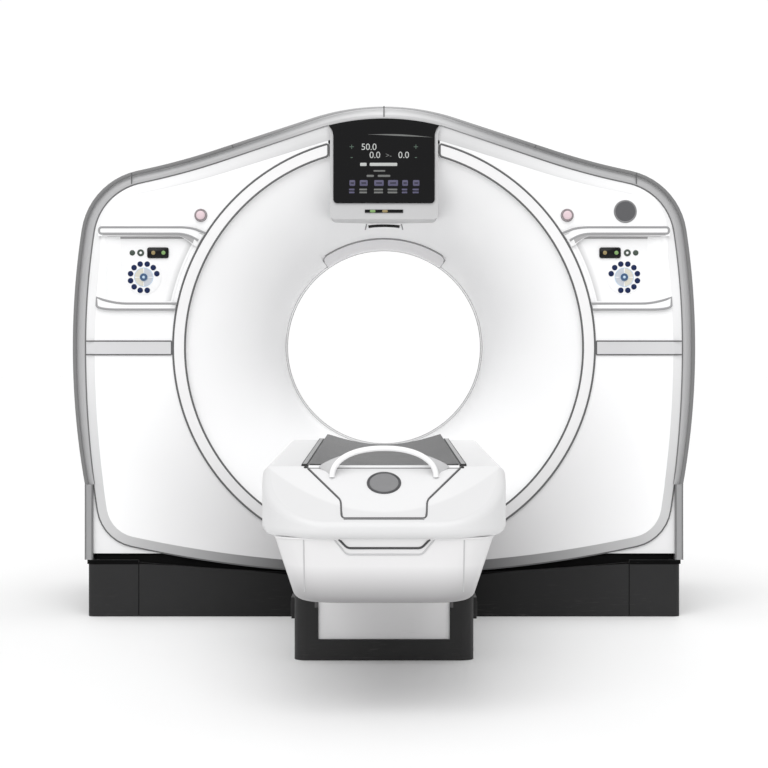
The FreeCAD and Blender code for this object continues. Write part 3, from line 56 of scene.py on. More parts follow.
studio = {
    "skyStrength": 1.02,
    "ambient": 0.75,
    "sun": {"power": 1.55, "spread": 60, "from": (-0.3, -2.9, 2.9)},
    "lights": [
        ("keyLight", (-2.8, -6.0, 4.2), (0.0, 0.0, 1.1), 3.0, 14),
        ("rearLight", (1.5, 6.0, 3.6), (0.0, 0.0, 1.2), 3.0, 30),
    ],
}


def buildWorld():
    world = bpy.data.worlds.new("studioWorld")
    world.use_nodes = True
    tree = world.node_tree
    seen = tree.nodes["Background"]
    seen.inputs["Strength"].default_value = studio["skyStrength"]
    seen.inputs["Color"].default_value = (1, 1, 1, 1)
    felt = tree.nodes.new("ShaderNodeBackground")
    felt.inputs["Strength"].default_value = studio["ambient"]
    felt.inputs["Color"].default_value = (1, 1, 1, 1)
    path = tree.nodes.new("ShaderNodeLightPath")
    mix = tree.nodes.new("ShaderNodeMixShader")
    tree.links.new(path.outputs["Is Camera Ray"], mix.inputs[0])
    tree.links.new(felt.outputs[0], mix.inputs[1])
    tree.links.new(seen.outputs[0], mix.inputs[2])
    tree.links.new(mix.outputs[0], tree.nodes["World Output"].inputs["Surface"])
    bpy.context.scene.world = world


def addLight(name, kind, place, target, power):
    lightData = bpy.data.lights.new(name, kind)
    lightData.energy = power
    light = bpy.data.objects.new(name, lightData)
    light.location = place
    light.rotation_euler = (Vector(target) - Vector(place)).to_track_quat("-Z", "Y").to_euler()
    bpy.context.scene.collection.objects.link(light)
    return lightData


buildWorld()
sun = addLight("skySun", "SUN", studio["sun"]["from"], (0, 0, 0), studio["sun"]["power"])
sun.angle = math.radians(studio["sun"]["spread"])
for name, place, target, width, power in studio["lights"]:
    addLight(name, "AREA", place, target, power).size = width
bpy.context.scene.view_settings.view_transform = "Standard"
print("camera and lights are set")


# shader groups that several materials share


def newGroup(name, inputs, outputs):
    group = bpy.data.node_groups.new(name, "ShaderNodeTree")
    for label, kind, value in inputs:
        socket = group.interface.new_socket(name=label, in_out="INPUT", socket_type=kind)
        socket.default_value = value
    for label, kind in outputs:
        group.interface.new_socket(name=label, in_out="OUTPUT", socket_type=kind)
    return group, group.nodes.new("NodeGroupInput"), group.nodes.new("NodeGroupOutput")


def mathNode(tree, operation, first=None, second=None):
    node = tree.nodes.new("ShaderNodeMath")
    node.operation = operation
    for index, value in enumerate((first, second)):
        if isinstance(value, (int, float)):
            node.inputs[index].default_value = value
        elif value is not None:
            tree.links.new(value, node.inputs[index])
    return node.outputs[0]


def noiseNode(tree, vector, scale, detail=2.0):
    node = tree.nodes.new("ShaderNodeTexNoise")
    node.inputs["Detail"].default_value = detail
    tree.links.new(vector, node.inputs["Vector"])
    if isinstance(scale, (int, float)):
        node.inputs["Scale"].default_value = scale
    else:
        tree.links.new(scale, node.inputs["Scale"])
    return node.outputs[0]


def mixColors(tree, amount, first, second):
    node = tree.nodes.new("ShaderNodeMix")
    node.data_type = "RGBA"
    tree.links.new(amount, node.inputs[0])
    for index, value in ((6, first), (7, second)):
        if isinstance(value, tuple):
            node.inputs[index].default_value = (*value, 1)
        else:
            tree.links.new(value, node.inputs[index])
    return node.outputs[2]


def rangeNode(tree, value, low, high):
    node = tree.nodes.new("ShaderNodeMapRange")
    for label, number in (("From Min", low), ("From Max", high)):
        node.inputs[label].default_value = number
    tree.links.new(value, node.inputs["Value"])
    return node.outputs[0]


def splitNode(tree, vector):
    node = tree.nodes.new("ShaderNodeSeparateXYZ")
    tree.links.new(vector, node.inputs[0])
    return node.outputs


def stretched(tree, vector, scale):
    mapping = tree.nodes.new("ShaderNodeMapping")
    mapping.inputs["Scale"].default_value = scale
    tree.links.new(vector, mapping.inputs["Vector"])
    return mapping.outputs[0]


def buildGrainGroup():
    # a fine moulded or sprayed grain over a slower ripple
    group, start, end = newGroup(
        "mouldGrain",
        [("Vector", "NodeSocketVector", (0, 0, 0)), ("Scale", "NodeSocketFloat", 900.0)],
        [("Height", "NodeSocketFloat")],
    )
    vector, scale = start.outputs["Vector"], start.outputs["Scale"]
    fine = noiseNode(group, vector, scale, 3.0)
    slow = noiseNode(group, vector, mathNode(group, "MULTIPLY", scale, 0.08), 1.0)
    height = mathNode(
        group, "ADD", mathNode(group, "MULTIPLY", fine, 0.6), mathNode(group, "MULTIPLY", slow, 0.4)
    )
    group.links.new(height, end.inputs["Height"])
    return group


def buildToneGroup():
    # slow changes of tone and gloss, and a little dust where a face looks up
    group, start, end = newGroup(
        "toneDrift",
        [
            ("Vector", "NodeSocketVector", (0, 0, 0)),
            ("Color", "NodeSocketColor", (0.8, 0.8, 0.8, 1)),
            ("Shade", "NodeSocketColor", (0.7, 0.7, 0.7, 1)),
            ("Scale", "NodeSocketFloat", 2.5),
            ("Dust", "NodeSocketFloat", 0.05),
            ("Rough", "NodeSocketFloat", 0.4),
            ("Rough Spread", "NodeSocketFloat", 0.08),
        ],
        [("Color", "NodeSocketColor"), ("Roughness", "NodeSocketFloat")],
    )
    vector = start.outputs["Vector"]
    drift = rangeNode(group, noiseNode(group, vector, start.outputs["Scale"]), 0.35, 0.65)
    tone = mixColors(group, drift, start.outputs["Color"], start.outputs["Shade"])
    geometry = group.nodes.new("ShaderNodeNewGeometry")
    looksUp = rangeNode(group, splitNode(group, geometry.outputs["Normal"])["Z"], 0.6, 1.0)
    specks = rangeNode(group, noiseNode(group, vector, 60.0, 4.0), 0.45, 0.75)
    dust = mathNode(group, "MULTIPLY", mathNode(group, "MULTIPLY", looksUp, specks), start.outputs["Dust"])
    group.links.new(mixColors(group, dust, tone, (0.5, 0.49, 0.47)), end.inputs["Color"])
    smears = noiseNode(group, vector, 9.0, 3.0)
    spread = mathNode(group, "MULTIPLY", smears, start.outputs["Rough Spread"])
    group.links.new(mathNode(group, "ADD", spread, start.outputs["Rough"]), end.inputs["Roughness"])
    return group


def buildScuffGroup():
    # pale rubs and shoe marks that thin out above the floor
    group, start, end = newGroup(
        "floorScuffs",
        [("Vector", "NodeSocketVector", (0, 0, 0)), ("Reach", "NodeSocketFloat", 0.16)],
        [("Mask", "NodeSocketFloat")],
    )
    vector = start.outputs["Vector"]
    height = splitNode(group, vector)["Z"]
    low = mathNode(group, "SUBTRACT", 1.0, mathNode(group, "DIVIDE", height, start.outputs["Reach"]))
    low = mathNode(group, "MAXIMUM", low, 0.0)
    streaks = rangeNode(
        group, noiseNode(group, stretched(group, vector, (6.0, 6.0, 55.0)), 3.0, 5.0), 0.56, 0.72
    )
    patches = rangeNode(group, noiseNode(group, vector, 7.0, 3.0), 0.42, 0.66)
    group.links.new(
        mathNode(group, "MULTIPLY", mathNode(group, "MULTIPLY", low, streaks), patches), end.inputs["Mask"]
    )
    return group


grainGroup, toneGroup, scuffGroup = buildGrainGroup(), buildToneGroup(), buildScuffGroup()


def groupNode(tree, group, vector, **values):
    node = tree.nodes.new("ShaderNodeGroup")
    node.node_tree = group
    tree.links.new(vector, node.inputs["Vector"])
    for label, value in values.items():
        socket = node.inputs[label.replace("_", " ")]
        socket.default_value = (*value, 1) if isinstance(value, tuple) else value
    return node


def weaveHeight(tree, vector, pitch):
    waves = []
    for direction in ("X", "Y"):
        wave = tree.nodes.new("ShaderNodeTexWave")
        wave.bands_direction = direction
        wave.inputs["Scale"].default_value = 1.0 / pitch
        tree.links.new(vector, wave.inputs["Vector"])
        waves.append(wave.outputs[1])
    return mathNode(tree, "MULTIPLY", waves[0], waves[1])


def makeMaterial(name, look):
    # look: color, shade, rough, spread, grain (scale, depth), and what else the finish has
    material = bpy.data.materials.new(name)
    material.use_nodes = True
    tree = material.node_tree
    shader = tree.nodes["Principled BSDF"]
    vector = tree.nodes.new("ShaderNodeTexCoord").outputs["Object"]
    shade = look.get("shade", tuple(part * 0.95 for part in look["color"]))
    tone = groupNode(
        tree,
        toneGroup,
        vector,
        Color=look["color"],
        Shade=shade,
        Scale=2.0,
        Dust=look.get("dust", 0.04),
        Rough=look["rough"],
        Rough_Spread=look.get("spread", 0.08),
    )
    color = tone.outputs["Color"]
    # painted light and shade by distance from the middle: a painted highlight on the grey bands and their
    # edge beads, painted shade on the bevel strips, the foot rim and the plinth
    if "middle" in look:  # another tone towards the middle of the machine
        tint, nearX, farX = look["middle"]
        across = mathNode(tree, "ABSOLUTE", splitNode(tree, vector)["X"])
        color = mixColors(tree, rangeNode(tree, across, nearX, farX), tint, color)
    # painted shade: a darker tone lower down, on the side bevel strips, the ring trim, the belly and the
    # table base panel
    if "fade" in look:  # another tone lower down
        tint, clearZ, fullZ = look["fade"]
        color = mixColors(tree, rangeNode(tree, splitNode(tree, vector)["Z"], clearZ, fullZ), color, tint)
    # painted shade: a darker tone below a bowed crease
    if "bow" in look:  # another tone below a bowed crease
        tint, middleZ, rise, soft = look["bow"]
        parts = splitNode(tree, vector)
        line = mathNode(tree, "MULTIPLY", mathNode(tree, "MULTIPLY", parts["X"], parts["X"]), rise)
        under = mathNode(tree, "SUBTRACT", mathNode(tree, "ADD", line, middleZ), parts["Z"])
        color = mixColors(tree, rangeNode(tree, under, 0.0, soft), color, tint)
    # painted shade: a darker pool round a line along Y
    if "pool" in look:  # another tone near a line along Y, at a height in the middle of the machine
        tint, middleZ, nearReach, farReach = look["pool"]
        parts = splitNode(tree, vector)
        lift = mathNode(tree, "SUBTRACT", parts["Z"], middleZ)
        squares = mathNode(
            tree,
            "ADD",
            mathNode(tree, "MULTIPLY", parts["X"], parts["X"]),
            mathNode(tree, "MULTIPLY", lift, lift),
        )
        color = mixColors(
            tree, rangeNode(tree, mathNode(tree, "POWER", squares, 0.5), nearReach, farReach), tint, color
        )
    # painted light: a lighter tone where the surface looks up
    if "crown" in look:  # another tone where the surface looks up
        facing = splitNode(tree, tree.nodes.new("ShaderNodeNewGeometry").outputs["Normal"])["Z"]
        color = mixColors(tree, rangeNode(tree, facing, 0.80, 0.97), color, look["crown"])
    if "scuffs" in look:
        scuffs = groupNode(tree, scuffGroup, vector, Reach=look["scuffs"])
        color = mixColors(
            tree, mathNode(tree, "MULTIPLY", scuffs.outputs["Mask"], 0.22), color, (0.13, 0.127, 0.12)
        )
    tree.links.new(color, shader.inputs["Base Color"])
    tree.links.new(tone.outputs["Roughness"], shader.inputs["Roughness"])
    scale, depth = look["grain"]
    grainVector = stretched(tree, vector, look["brushed"]) if "brushed" in look else vector
    height = groupNode(tree, grainGroup, grainVector, Scale=scale).outputs["Height"]
    if "weave" in look:
        height = mathNode(tree, "ADD", height, weaveHeight(tree, vector, look["weave"]))
    bump = tree.nodes.new("ShaderNodeBump")
    bump.inputs["Distance"].default_value = depth
    tree.links.new(height, bump.inputs["Height"])
    tree.links.new(bump.outputs["Normal"], shader.inputs["Normal"])
    shader.inputs["Metallic"].default_value = look.get("metal", 0.0)
    shader.inputs["Specular IOR Level"].default_value = look.get("specular", 0.5)
    shader.inputs["Coat Weight"].default_value = look.get("coat", 0.0)
    shader.inputs["Coat Roughness"].default_value = look.get("coatRough", 0.1)
    if "glow" in look:
        shader.inputs["Emission Color"].default_value = (*look["color"], 1)
        shader.inputs["Emission Strength"].default_value = look["glow"]
    return material


plain = (650.0, 0.00005)  # grain of a sprayed shell: scale and depth
fine = (700.0, 0.00006)  # grain of lamps, signs and dark gaps


def lookOf(color, rough, grain=plain, **more):
    return {"color": color, "rough": rough, "grain": grain, **more}


looks = {
    "coverWhite": lookOf((0.88, 0.88, 0.885), 0.32, shade=(0.86, 0.86, 0.865), coat=0.2, specular=0.35),
    # front cover, with a painted shadow of the table growing towards the middle low down
    "coverFront": lookOf(
        (0.88, 0.88, 0.885),
        0.32,
        shade=(0.86, 0.86, 0.865),
        pool=((0.50, 0.495, 0.50), 0.25, 0.34, 1.06),
        coat=0.2,
        specular=0.35,
    ),
    # painted shade along the ring's side of each control recess
    "recessShadeTone": lookOf(
        (0.87, 0.87, 0.875), 0.36, pool=((0.42, 0.42, 0.425), isoHeight, 0.815, 0.850), specular=0.35
    ),
    # grey bands, lighter towards the middle of the top as a painted highlight
    "shellGrey": lookOf((0.40, 0.40, 0.405), 0.36, middle=((0.62, 0.62, 0.625), 0.0, 0.42), coat=0.15),
    "panelShell": lookOf((0.29, 0.29, 0.295), 0.38, coat=0.1, scuffs=0.30),
    "shellPale": lookOf((0.78, 0.78, 0.785), 0.38),
    # painted shade on the white cover's bevel: grey strips under the top bands, darker beside the display,
    # and down the sides, darker lower down, and a darker rim of painted shade round the foot
    "bevelShadeGrey": lookOf((0.88, 0.88, 0.885), 0.36, middle=((0.55, 0.55, 0.555), 0.30, 1.15)),
    "flankShadeGrey": lookOf((0.80, 0.80, 0.805), 0.36, fade=((0.56, 0.56, 0.565), 1.20, 0.52)),
    "rimShadeGrey": lookOf((0.56, 0.56, 0.565), 0.4, middle=((0.13, 0.13, 0.132), 0.36, 1.02)),
    "bellWhite": lookOf((0.93, 0.93, 0.935), 0.38, shade=(0.90, 0.90, 0.905), coat=0.1, specular=0.35),
    "filmGrey": lookOf((0.70, 0.705, 0.71), 0.22, (300.0, 0.00003), coat=0.3),
    # ring trim, darker towards the bottom as painted shade
    "ringGrey": lookOf((0.80, 0.795, 0.80), 0.36, fade=((0.62, 0.615, 0.62), 0.75, 0.30), specular=0.35),
    "crescentGrey": lookOf((0.80, 0.79, 0.805), 0.45, (900.0, 0.0001)),
    "housingGrey": lookOf((0.52, 0.52, 0.525), 0.34, specular=0.35),
    "bezelWhite": lookOf((0.86, 0.86, 0.865), 0.34, specular=0.35),
    "stripGrey": lookOf((0.60, 0.60, 0.61), 0.32, (60.0, 0.00005), brushed=(1.0, 1.0, 40.0)),
    # black plinth, darker towards the middle as painted shade, with dust and scuffs
    "plinthBlack": lookOf(
        (0.021, 0.021, 0.0215),
        0.50,
        (1200.0, 0.00025),
        shade=(0.017, 0.017, 0.0175),
        middle=((0.006, 0.006, 0.0062), 0.35, 0.95),
        specular=0.2,
        dust=0.10,
        scuffs=0.14,
    ),
    "displayGlass": lookOf(
        (0.004, 0.004, 0.0045),
        0.10,
        (5.0, 0.00001),
        spread=0.06,
        specular=0.14,
        coat=0.10,
        coatRough=0.04,
        dust=0.0,
    ),
    "padGrey": lookOf((0.87, 0.872, 0.88), 0.5, (1500.0, 0.00006)),
    "padBeige": lookOf((0.62, 0.60, 0.52), 0.5, (1500.0, 0.00006)),
    "padCool": lookOf((0.50, 0.53, 0.58), 0.5, (1500.0, 0.00006)),
    "padBlue": lookOf((0.48, 0.62, 0.76), 0.45, (1500.0, 0.00006)),
    "keyBlue": lookOf((0.008, 0.018, 0.070), 0.50, (1600.0, 0.00005), specular=0.15),
    "startBlue": lookOf((0.025, 0.075, 0.17), 0.35, (1500.0, 0.00004), coat=0.3),
    "stopPink": lookOf((0.70, 0.55, 0.59), 0.38, (1500.0, 0.00004), coat=0.2),
    "stopRing": lookOf((0.235, 0.195, 0.205), 0.4, (1500.0, 0.00005)),
    "stopGrey": lookOf((0.72, 0.71, 0.72), 0.4, (1500.0, 0.00005)),
    "buttonGreen": lookOf((0.035, 0.055, 0.040), 0.4, (1500.0, 0.00005)),
    "tableWhite": lookOf((0.70, 0.70, 0.705), 0.34, coat=0.2, specular=0.35),
    # nose: painted shade below the crease of its front roll, and painted light on faces that look up
    "noseWhite": lookOf(
        (0.72, 0.72, 0.725),
        0.34,
        bow=((0.65, 0.65, 0.655), 0.5813, 1.068, 0.006),
        crown=(0.80, 0.80, 0.805),
        coat=0.2,
        specular=0.35,
    ),
    # belly, darker towards the bottom as painted shade
    "bellyWhite": lookOf(
        (0.73, 0.725, 0.73), 0.34, fade=((0.20, 0.195, 0.20), 0.432, 0.318), coat=0.2, specular=0.35
    ),
    "stripDark": lookOf((0.085, 0.083, 0.084), 0.42, (900.0, 0.0001)),
    "shadeGrey": lookOf((0.36, 0.355, 0.36), 0.5, (1500.0, 0.0001), dust=0.0),
    "creaseGrey": lookOf((0.50, 0.50, 0.505), 0.5, (1500.0, 0.0001), dust=0.0),
    "badgeFace": lookOf((0.075, 0.075, 0.08), 0.34, (1200.0, 0.00008), brushed=(1.0, 40.0, 40.0), coat=0.3),
    "badgeDark": lookOf((0.045, 0.045, 0.048), 0.28, (1200.0, 0.00008), coat=0.4),
    "tableBlack": lookOf(
        (0.022, 0.0215, 0.022),
        0.46,
        (1200.0, 0.0002),
        shade=(0.017, 0.017, 0.017),
        specular=0.25,
        dust=0.10,
        scuffs=0.12,
    ),
    # table base panel, darker near the floor as painted shade, with scuffs
    "panelGrey": lookOf(
        (0.88, 0.875, 0.88), 0.40, (900.0, 0.00008), fade=((0.76, 0.755, 0.76), 0.20, 0.075), scuffs=0.16
    ),
    "columnMetal": lookOf((0.55, 0.56, 0.57), 0.30, (30.0, 0.0001), metal=0.9, brushed=(60.0, 60.0, 1.0)),
    "frameSteel": lookOf((0.16, 0.17, 0.18), 0.52, (900.0, 0.0002)),
    "rotorMetal": lookOf((0.5, 0.51, 0.52), 0.32, (60.0, 0.0001), metal=0.85, brushed=(1.0, 60.0, 1.0)),
    "deviceGrey": lookOf((0.22, 0.24, 0.26), 0.48, (900.0, 0.0001)),
    "cradleDark": lookOf(
        (0.16, 0.16, 0.162),
        0.50,
        (900.0, 0.0002),
        shade=(0.14, 0.14, 0.142),
        specular=0.25,
        dust=0.02,
        weave=0.0045,
    ),
    "railMetal": lookOf((0.34, 0.343, 0.346), 0.34, (40.0, 0.0001), metal=0.4, brushed=(60.0, 1.0, 60.0)),
    "rollerRubber": lookOf((0.02, 0.02, 0.02), 0.62, (1400.0, 0.0003)),
    "handleWhite": lookOf((0.86, 0.86, 0.865), 0.30, (900.0, 0.00005), coat=0.3),
    "webGrey": lookOf((0.54, 0.54, 0.545), 0.42, (900.0, 0.00008)),
    "seamDark": lookOf((0.045, 0.045, 0.047), 0.6, (1500.0, 0.0001), dust=0.0),
    "seamGrey": lookOf((0.10, 0.10, 0.102), 0.6, (1500.0, 0.0001), dust=0.0),
    "seamSoft": lookOf((0.30, 0.30, 0.305), 0.6, (1500.0, 0.0001), dust=0.0),
    # the bands' dark joint line and painted shade of their rounded edges, lighter towards the middle of the
    # top as painted light
    "bandShade": lookOf(
        (0.17, 0.17, 0.172), 0.5, (1500.0, 0.0001), middle=((0.40, 0.40, 0.405), 0.05, 0.60), dust=0.0
    ),
    # near-black for the plinth's top lip and strips: black plastic darkened further as painted shade of the
    # gap
    "lipShadeBlack": lookOf((0.002, 0.002, 0.0021), 0.7, (1200.0, 0.0002), specular=0.06, dust=0.0),
    "shadowGap": lookOf((0.004, 0.004, 0.004), 0.8, fine, specular=0.1, dust=0.0),
    "discGrey": lookOf((0.20, 0.20, 0.205), 0.30, (1200.0, 0.00008), brushed=(1.0, 40.0, 40.0), coat=0.3),
    "lampGreen": lookOf((0.17, 0.30, 0.10), 0.3, fine, glow=0.12, dust=0.0),
    "lampAmber": lookOf((0.25, 0.19, 0.08), 0.3, fine, glow=0.12, dust=0.0),
    "glyphWhite": lookOf((0.42, 0.43, 0.42), 0.5, fine, glow=0.12, dust=0.0),
    "glyphGrey": lookOf((0.12, 0.124, 0.12), 0.5, fine, glow=0.12, dust=0.0),
    "glyphGreen": lookOf((0.05, 0.085, 0.062), 0.5, fine, glow=0.12, dust=0.0),
    "glyphBlue": lookOf((0.066, 0.061, 0.118), 0.5, fine, glow=0.12, dust=0.0),
}
materials = {name: makeMaterial(name, look) for name, look in looks.items()}

finishes = {
    "coverFront": ["front_cover"],
    "coverWhite": ["rear_cover"],
    "shellPale": ["corner_panels"],
    "shellGrey": ["top_band_left", "top_band_right", "side_band_left", "side_band_right"],
    "panelShell": ["side_panel_left", "side_panel_right"],
    "bellWhite": ["front_cone", "rear_cone"],
    "filmGrey": ["bore_liner"],
    "ringGrey": ["ring_trim"],
    "crescentGrey": ["bore_crescent_panel"],
    "housingGrey": ["display_housing"],
    "bezelWhite": ["control_bezel_left", "control_bezel_right"],
    "stripGrey": ["trim_strips"],
    "plinthBlack": ["base_cover_front", "base_cover_rear", "base_cover_left", "base_cover_right"],
    "displayGlass": ["display_screen", "status_lamp_strip", "alignment_light_window", "lamp_windows"],
    "padGrey": ["keypads"],
    "stopGrey": ["stop_button_left", "stop_button_right"],
    "startBlue": ["start_button_left", "start_button_right"],
    "noseWhite": ["nose_cover"],
    "bellyWhite": ["belly_cover"],
    "tableWhite": ["cradle_end_cap"],
    "tableBlack": ["table_base_frame", "foot_pedal_left", "foot_pedal_right"],
    "panelGrey": ["table_base_panel"],
    "columnMetal": ["lift_column_outer", "lift_column_middle", "lift_column_inner"],
    "frameSteel": [
        "gantry_base_frame", "stator_frame", "bearing_outer_race", "table_top_frame", "lift_actuator_housing"
    ],
    "rotorMetal": ["rotor_drum", "slip_ring", "lift_actuator_rod"],
    "deviceGrey": [
        "xray_tube", "generator_and_cooler", "detector_array", "power_unit", "control_unit", "brush_block"
    ],
    "cradleDark": ["cradle"],
    "railMetal": ["cradle_rails"],
    "rollerRubber": ["cradle_roller"],
    "handleWhite": ["cradle_handle"],
}
for finish, names in finishes.items():
    for name in names:
        mesh = nodes[name].data
        mesh.materials.clear()
        mesh.materials.append(materials[finish])
print("the CAD nodes have their finishes")


# helpers for new pieces; a look is the body that carries a piece, its material and its slot, and the slot is
# not used


def choose(*pieces):
    # selects these pieces alone, with the first one active
    bpy.ops.object.select_all(action="DESELECT")
    for piece in pieces:
        piece.select_set(True)
    bpy.context.view_layer.objects.active = pieces[0]


def addObject(name, data):
    piece = bpy.data.objects.new(name, data)
    bpy.context.scene.collection.objects.link(piece)
    choose(piece)
    return piece


def placePiece(piece, name, look, smooth=35):
    body, material, slot = look
    choose(piece)
    bpy.ops.object.transform_apply(location=True, rotation=True, scale=True)
    piece.name = name
    piece.data.name = name
    piece.data.materials.clear()
    piece.data.materials.append(materials[material])
    bpy.ops.object.shade_smooth_by_angle(angle=math.radians(smooth))
    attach(piece, body)
    bpy.ops.object.select_all(action="DESELECT")
    return piece


def joinPieces(name, pieces):
    choose(*pieces)
    bpy.ops.object.join()
    pieces[0].name = name
    pieces[0].data.name = name
    bpy.ops.object.select_all(action="DESELECT")
    return pieces[0]


def selectEdges(piece, wanted):
    # goes into edit mode with only those edges selected whose two ends pass the test
    bpy.ops.object.mode_set(mode="EDIT")
    bpy.ops.mesh.select_mode(type="EDGE")
    bpy.ops.mesh.select_all(action="DESELECT")
    bpy.ops.object.mode_set(mode="OBJECT")
    vertices = piece.data.vertices
    for edge in piece.data.edges:
        edge.select = wanted(*[vertices[number].co for number in edge.vertices])
    bpy.ops.object.mode_set(mode="EDIT")


def leaveEdit(filled=False):
    # closes open loops if asked, turns all faces outwards and leaves edit mode
    bpy.ops.mesh.select_all(action="SELECT")
    if filled:
        bpy.ops.mesh.fill_holes(sides=0)
    bpy.ops.mesh.normals_make_consistent(inside=False)
    bpy.ops.object.mode_set(mode="OBJECT")


def thicken(piece, thickness):
    skin = piece.modifiers.new("skin", "SOLIDIFY")
    skin.thickness = thickness
    skin.offset = 0.0
    bpy.ops.object.modifier_apply(modifier="skin")


def bendPoints(start, corner, end, steps=6):
    # a soft turn from start to end, drawn towards the corner
    shares = [step / steps for step in range(steps + 1)]
    return [
        tuple((1 - t) ** 2 * a + 2 * t * (1 - t) * b + t * t * c for a, b, c in zip(start, corner, end))
        for t in shares
    ]


def towards(start, end, distance):
    return tuple(Vector(start) + (Vector(end) - Vector(start)).normalized() * distance)


def rounded(corners, radius):
    path = []
    for index, corner in enumerate(corners):
        before, after = corners[index - 1], corners[(index + 1) % len(corners)]
        path += bendPoints(towards(corner, before, radius), corner, towards(corner, after, radius))
    return path


def arcPoints(radius, first, last, steps):
    # round the bore's axis; angles in degrees from upright, clockwise from the front
    turns = [math.radians(first + (last - first) * step / steps) for step in range(steps + 1)]
    return [(radius * math.sin(turn), isoHeight + radius * math.cos(turn)) for turn in turns]


def flipped(path, side):
    return [(point[0] * side, *point[1:]) for point in path]


def denser(path, spacing=0.01):
    # adds points along the long straights of an outline
    spots = [path[0]]
    for first, last in zip(path, path[1:]):
        steps = max(1, math.ceil(math.dist(first, last) / spacing))
        spots += [tuple(a + (b - a) * n / steps for a, b in zip(first, last)) for n in range(1, steps + 1)]
    return spots


def atDepth(path, depth):
    return [(x, depth, z) for x, z in path]


def beads(name, paths, width, look, closed=False, fullness=2, swell=None):
    # a round bead along each path of 3D points; swell widens it by a factor at each point
    curve = bpy.data.curves.new(name, "CURVE")
    curve.dimensions = "3D"
    curve.bevel_depth = width / 2
    curve.bevel_resolution = fullness
    curve.use_fill_caps = True
    for path in paths:
        spline = curve.splines.new("POLY")
        spline.points.add(len(path) - 1)
        for number, place in enumerate(path):
            spline.points[number].co = (*place, 1)
            spline.points[number].radius = swell[number] if swell else 1.0
        spline.use_cyclic_u = closed
    addObject(name, curve)
    bpy.ops.object.convert(target="MESH")
    return placePiece(bpy.context.object, name, look, 60)


def frontSeam(name, paths, depth, width, material="seamGrey", closed=False, flatness=0.3, swell=None):
    # a flat bead on a face of the gantry that looks along Y
    look = ("gantry", material, "dark_glass")
    piece = beads(name, [atDepth(path, 0) for path in paths], width, look, closed, swell=swell)
    piece.scale.y = flatness
    piece.location.y = depth
    return placePiece(piece, name, look, 60)


def turned(name, centre, profile, look, steps=40, closed=False, start=0.0, sweep=360.0):
    # turns a profile of (depth, radius) about an axis along Y through centre (x, z)
    turn = math.radians(start)
    mesh = bpy.data.meshes.new(name)
    edges = [(number, number + 1) for number in range(len(profile) - 1)]
    if closed:
        edges.append((len(profile) - 1, 0))
    places = [
        (centre[0] + reach * math.sin(turn), depth, centre[1] + reach * math.cos(turn))
        for depth, reach in profile
    ]
    mesh.from_pydata(places, edges, [])
    piece = addObject(name, mesh)
    bpy.ops.object.mode_set(mode="EDIT")
    bpy.ops.mesh.select_all(action="SELECT")
    bpy.ops.mesh.spin(
        steps=steps, angle=-math.radians(sweep), center=(centre[0], 0, centre[1]), axis=(0, 1, 0)
    )
    bpy.ops.mesh.select_all(action="SELECT")
    bpy.ops.mesh.remove_doubles(threshold=0.00001)
    leaveEdit(filled=sweep < 360)
    return placePiece(piece, name, look, 30)


def domeProfile(radius, height, front, back, steps=6):
    # a lens-shaped button: depth and radius from the crown to the back
    turns = [math.radians(90 * step / steps) for step in range(steps + 1)]
    crown = [(front - height * math.cos(turn), radius * math.sin(turn)) for turn in turns]
    return crown + [(back, radius), (back, 0.0)]


def ringProfile(inner, outer, front, back, soft):
    return [
        (back, inner),
        (front + soft, inner),
        (front, inner + soft),
        (front, outer - soft),
        (front + soft, outer),
        (back, outer),
    ]


def slab(name, low, high, corner, look, soft=0.0004):
    # a plate between two corners of the frame, its four thin-way edges rounded
    spans = [far - near for near, far in zip(low, high)]
    thin = spans.index(min(spans))
    bpy.ops.mesh.primitive_cube_add(size=1, location=[(a + b) / 2 for a, b in zip(low, high)], scale=spans)
    piece = bpy.context.object
    bpy.ops.object.transform_apply(location=True, rotation=True, scale=True)
    selectEdges(piece, lambda first, last: abs((last - first)[thin]) > (last - first).length * 0.9)
    bpy.ops.mesh.bevel(offset=corner, segments=4, affect="EDGES")
    bpy.ops.object.mode_set(mode="OBJECT")
    edgeBevel = piece.modifiers.new("softEdges", "BEVEL")
    edgeBevel.width = min(soft, spans[thin] * 0.4)
    edgeBevel.segments = 2
    edgeBevel.limit_method = "ANGLE"
    bpy.ops.object.modifier_apply(modifier="softEdges")
    return placePiece(piece, name, look)


def bridged(name, paths, closed=False, filled=True):
    # a skin over paths with as many points each; closed paths give a filled body, or an open sleeve
    mesh = bpy.data.meshes.new(name)
    count = len(paths[0])
    last = count if closed else count - 1
    edges = [
        (row * count + n, row * count + (n + 1) % count) for row in range(len(paths)) for n in range(last)
    ]
    mesh.from_pydata([place for path in paths for place in path], edges, [])
    piece = addObject(name, mesh)
    bpy.ops.object.mode_set(mode="EDIT")
    bpy.ops.mesh.select_all(action="SELECT")
    bpy.ops.mesh.bridge_edge_loops()
    leaveEdit(filled=closed and filled)
    return piece


def ribbon(name, paths, look, thickness=0.0004):
    piece = bridged(name, paths)
    thicken(piece, thickness)
    return placePiece(piece, name, look, 40)


def mirrored(path):
    # the same path on the left and on the right
    return [flipped(path, side) for side in sides.values()]


# the funnels: smooth skins in place of the CAD nodes' short cones

bells = {
    "front": {
        "node": "front_cone",
        "facing": -1,
        "throatDepth": -0.020,
        "mouthDepth": -0.5357,
        "mouth": 0.752,
        "rim": 0.7995,
    },
    "rear": {
        "node": "rear_cone",
        "facing": 1,
        "throatDepth": 0.140,
        "mouthDepth": 0.550,
        "mouth": 0.560,
        "rim": 0.5992,
    },
}
throat = 0.400
bellWall, flangeWall, bellSteps = 0.008, 0.008, 28


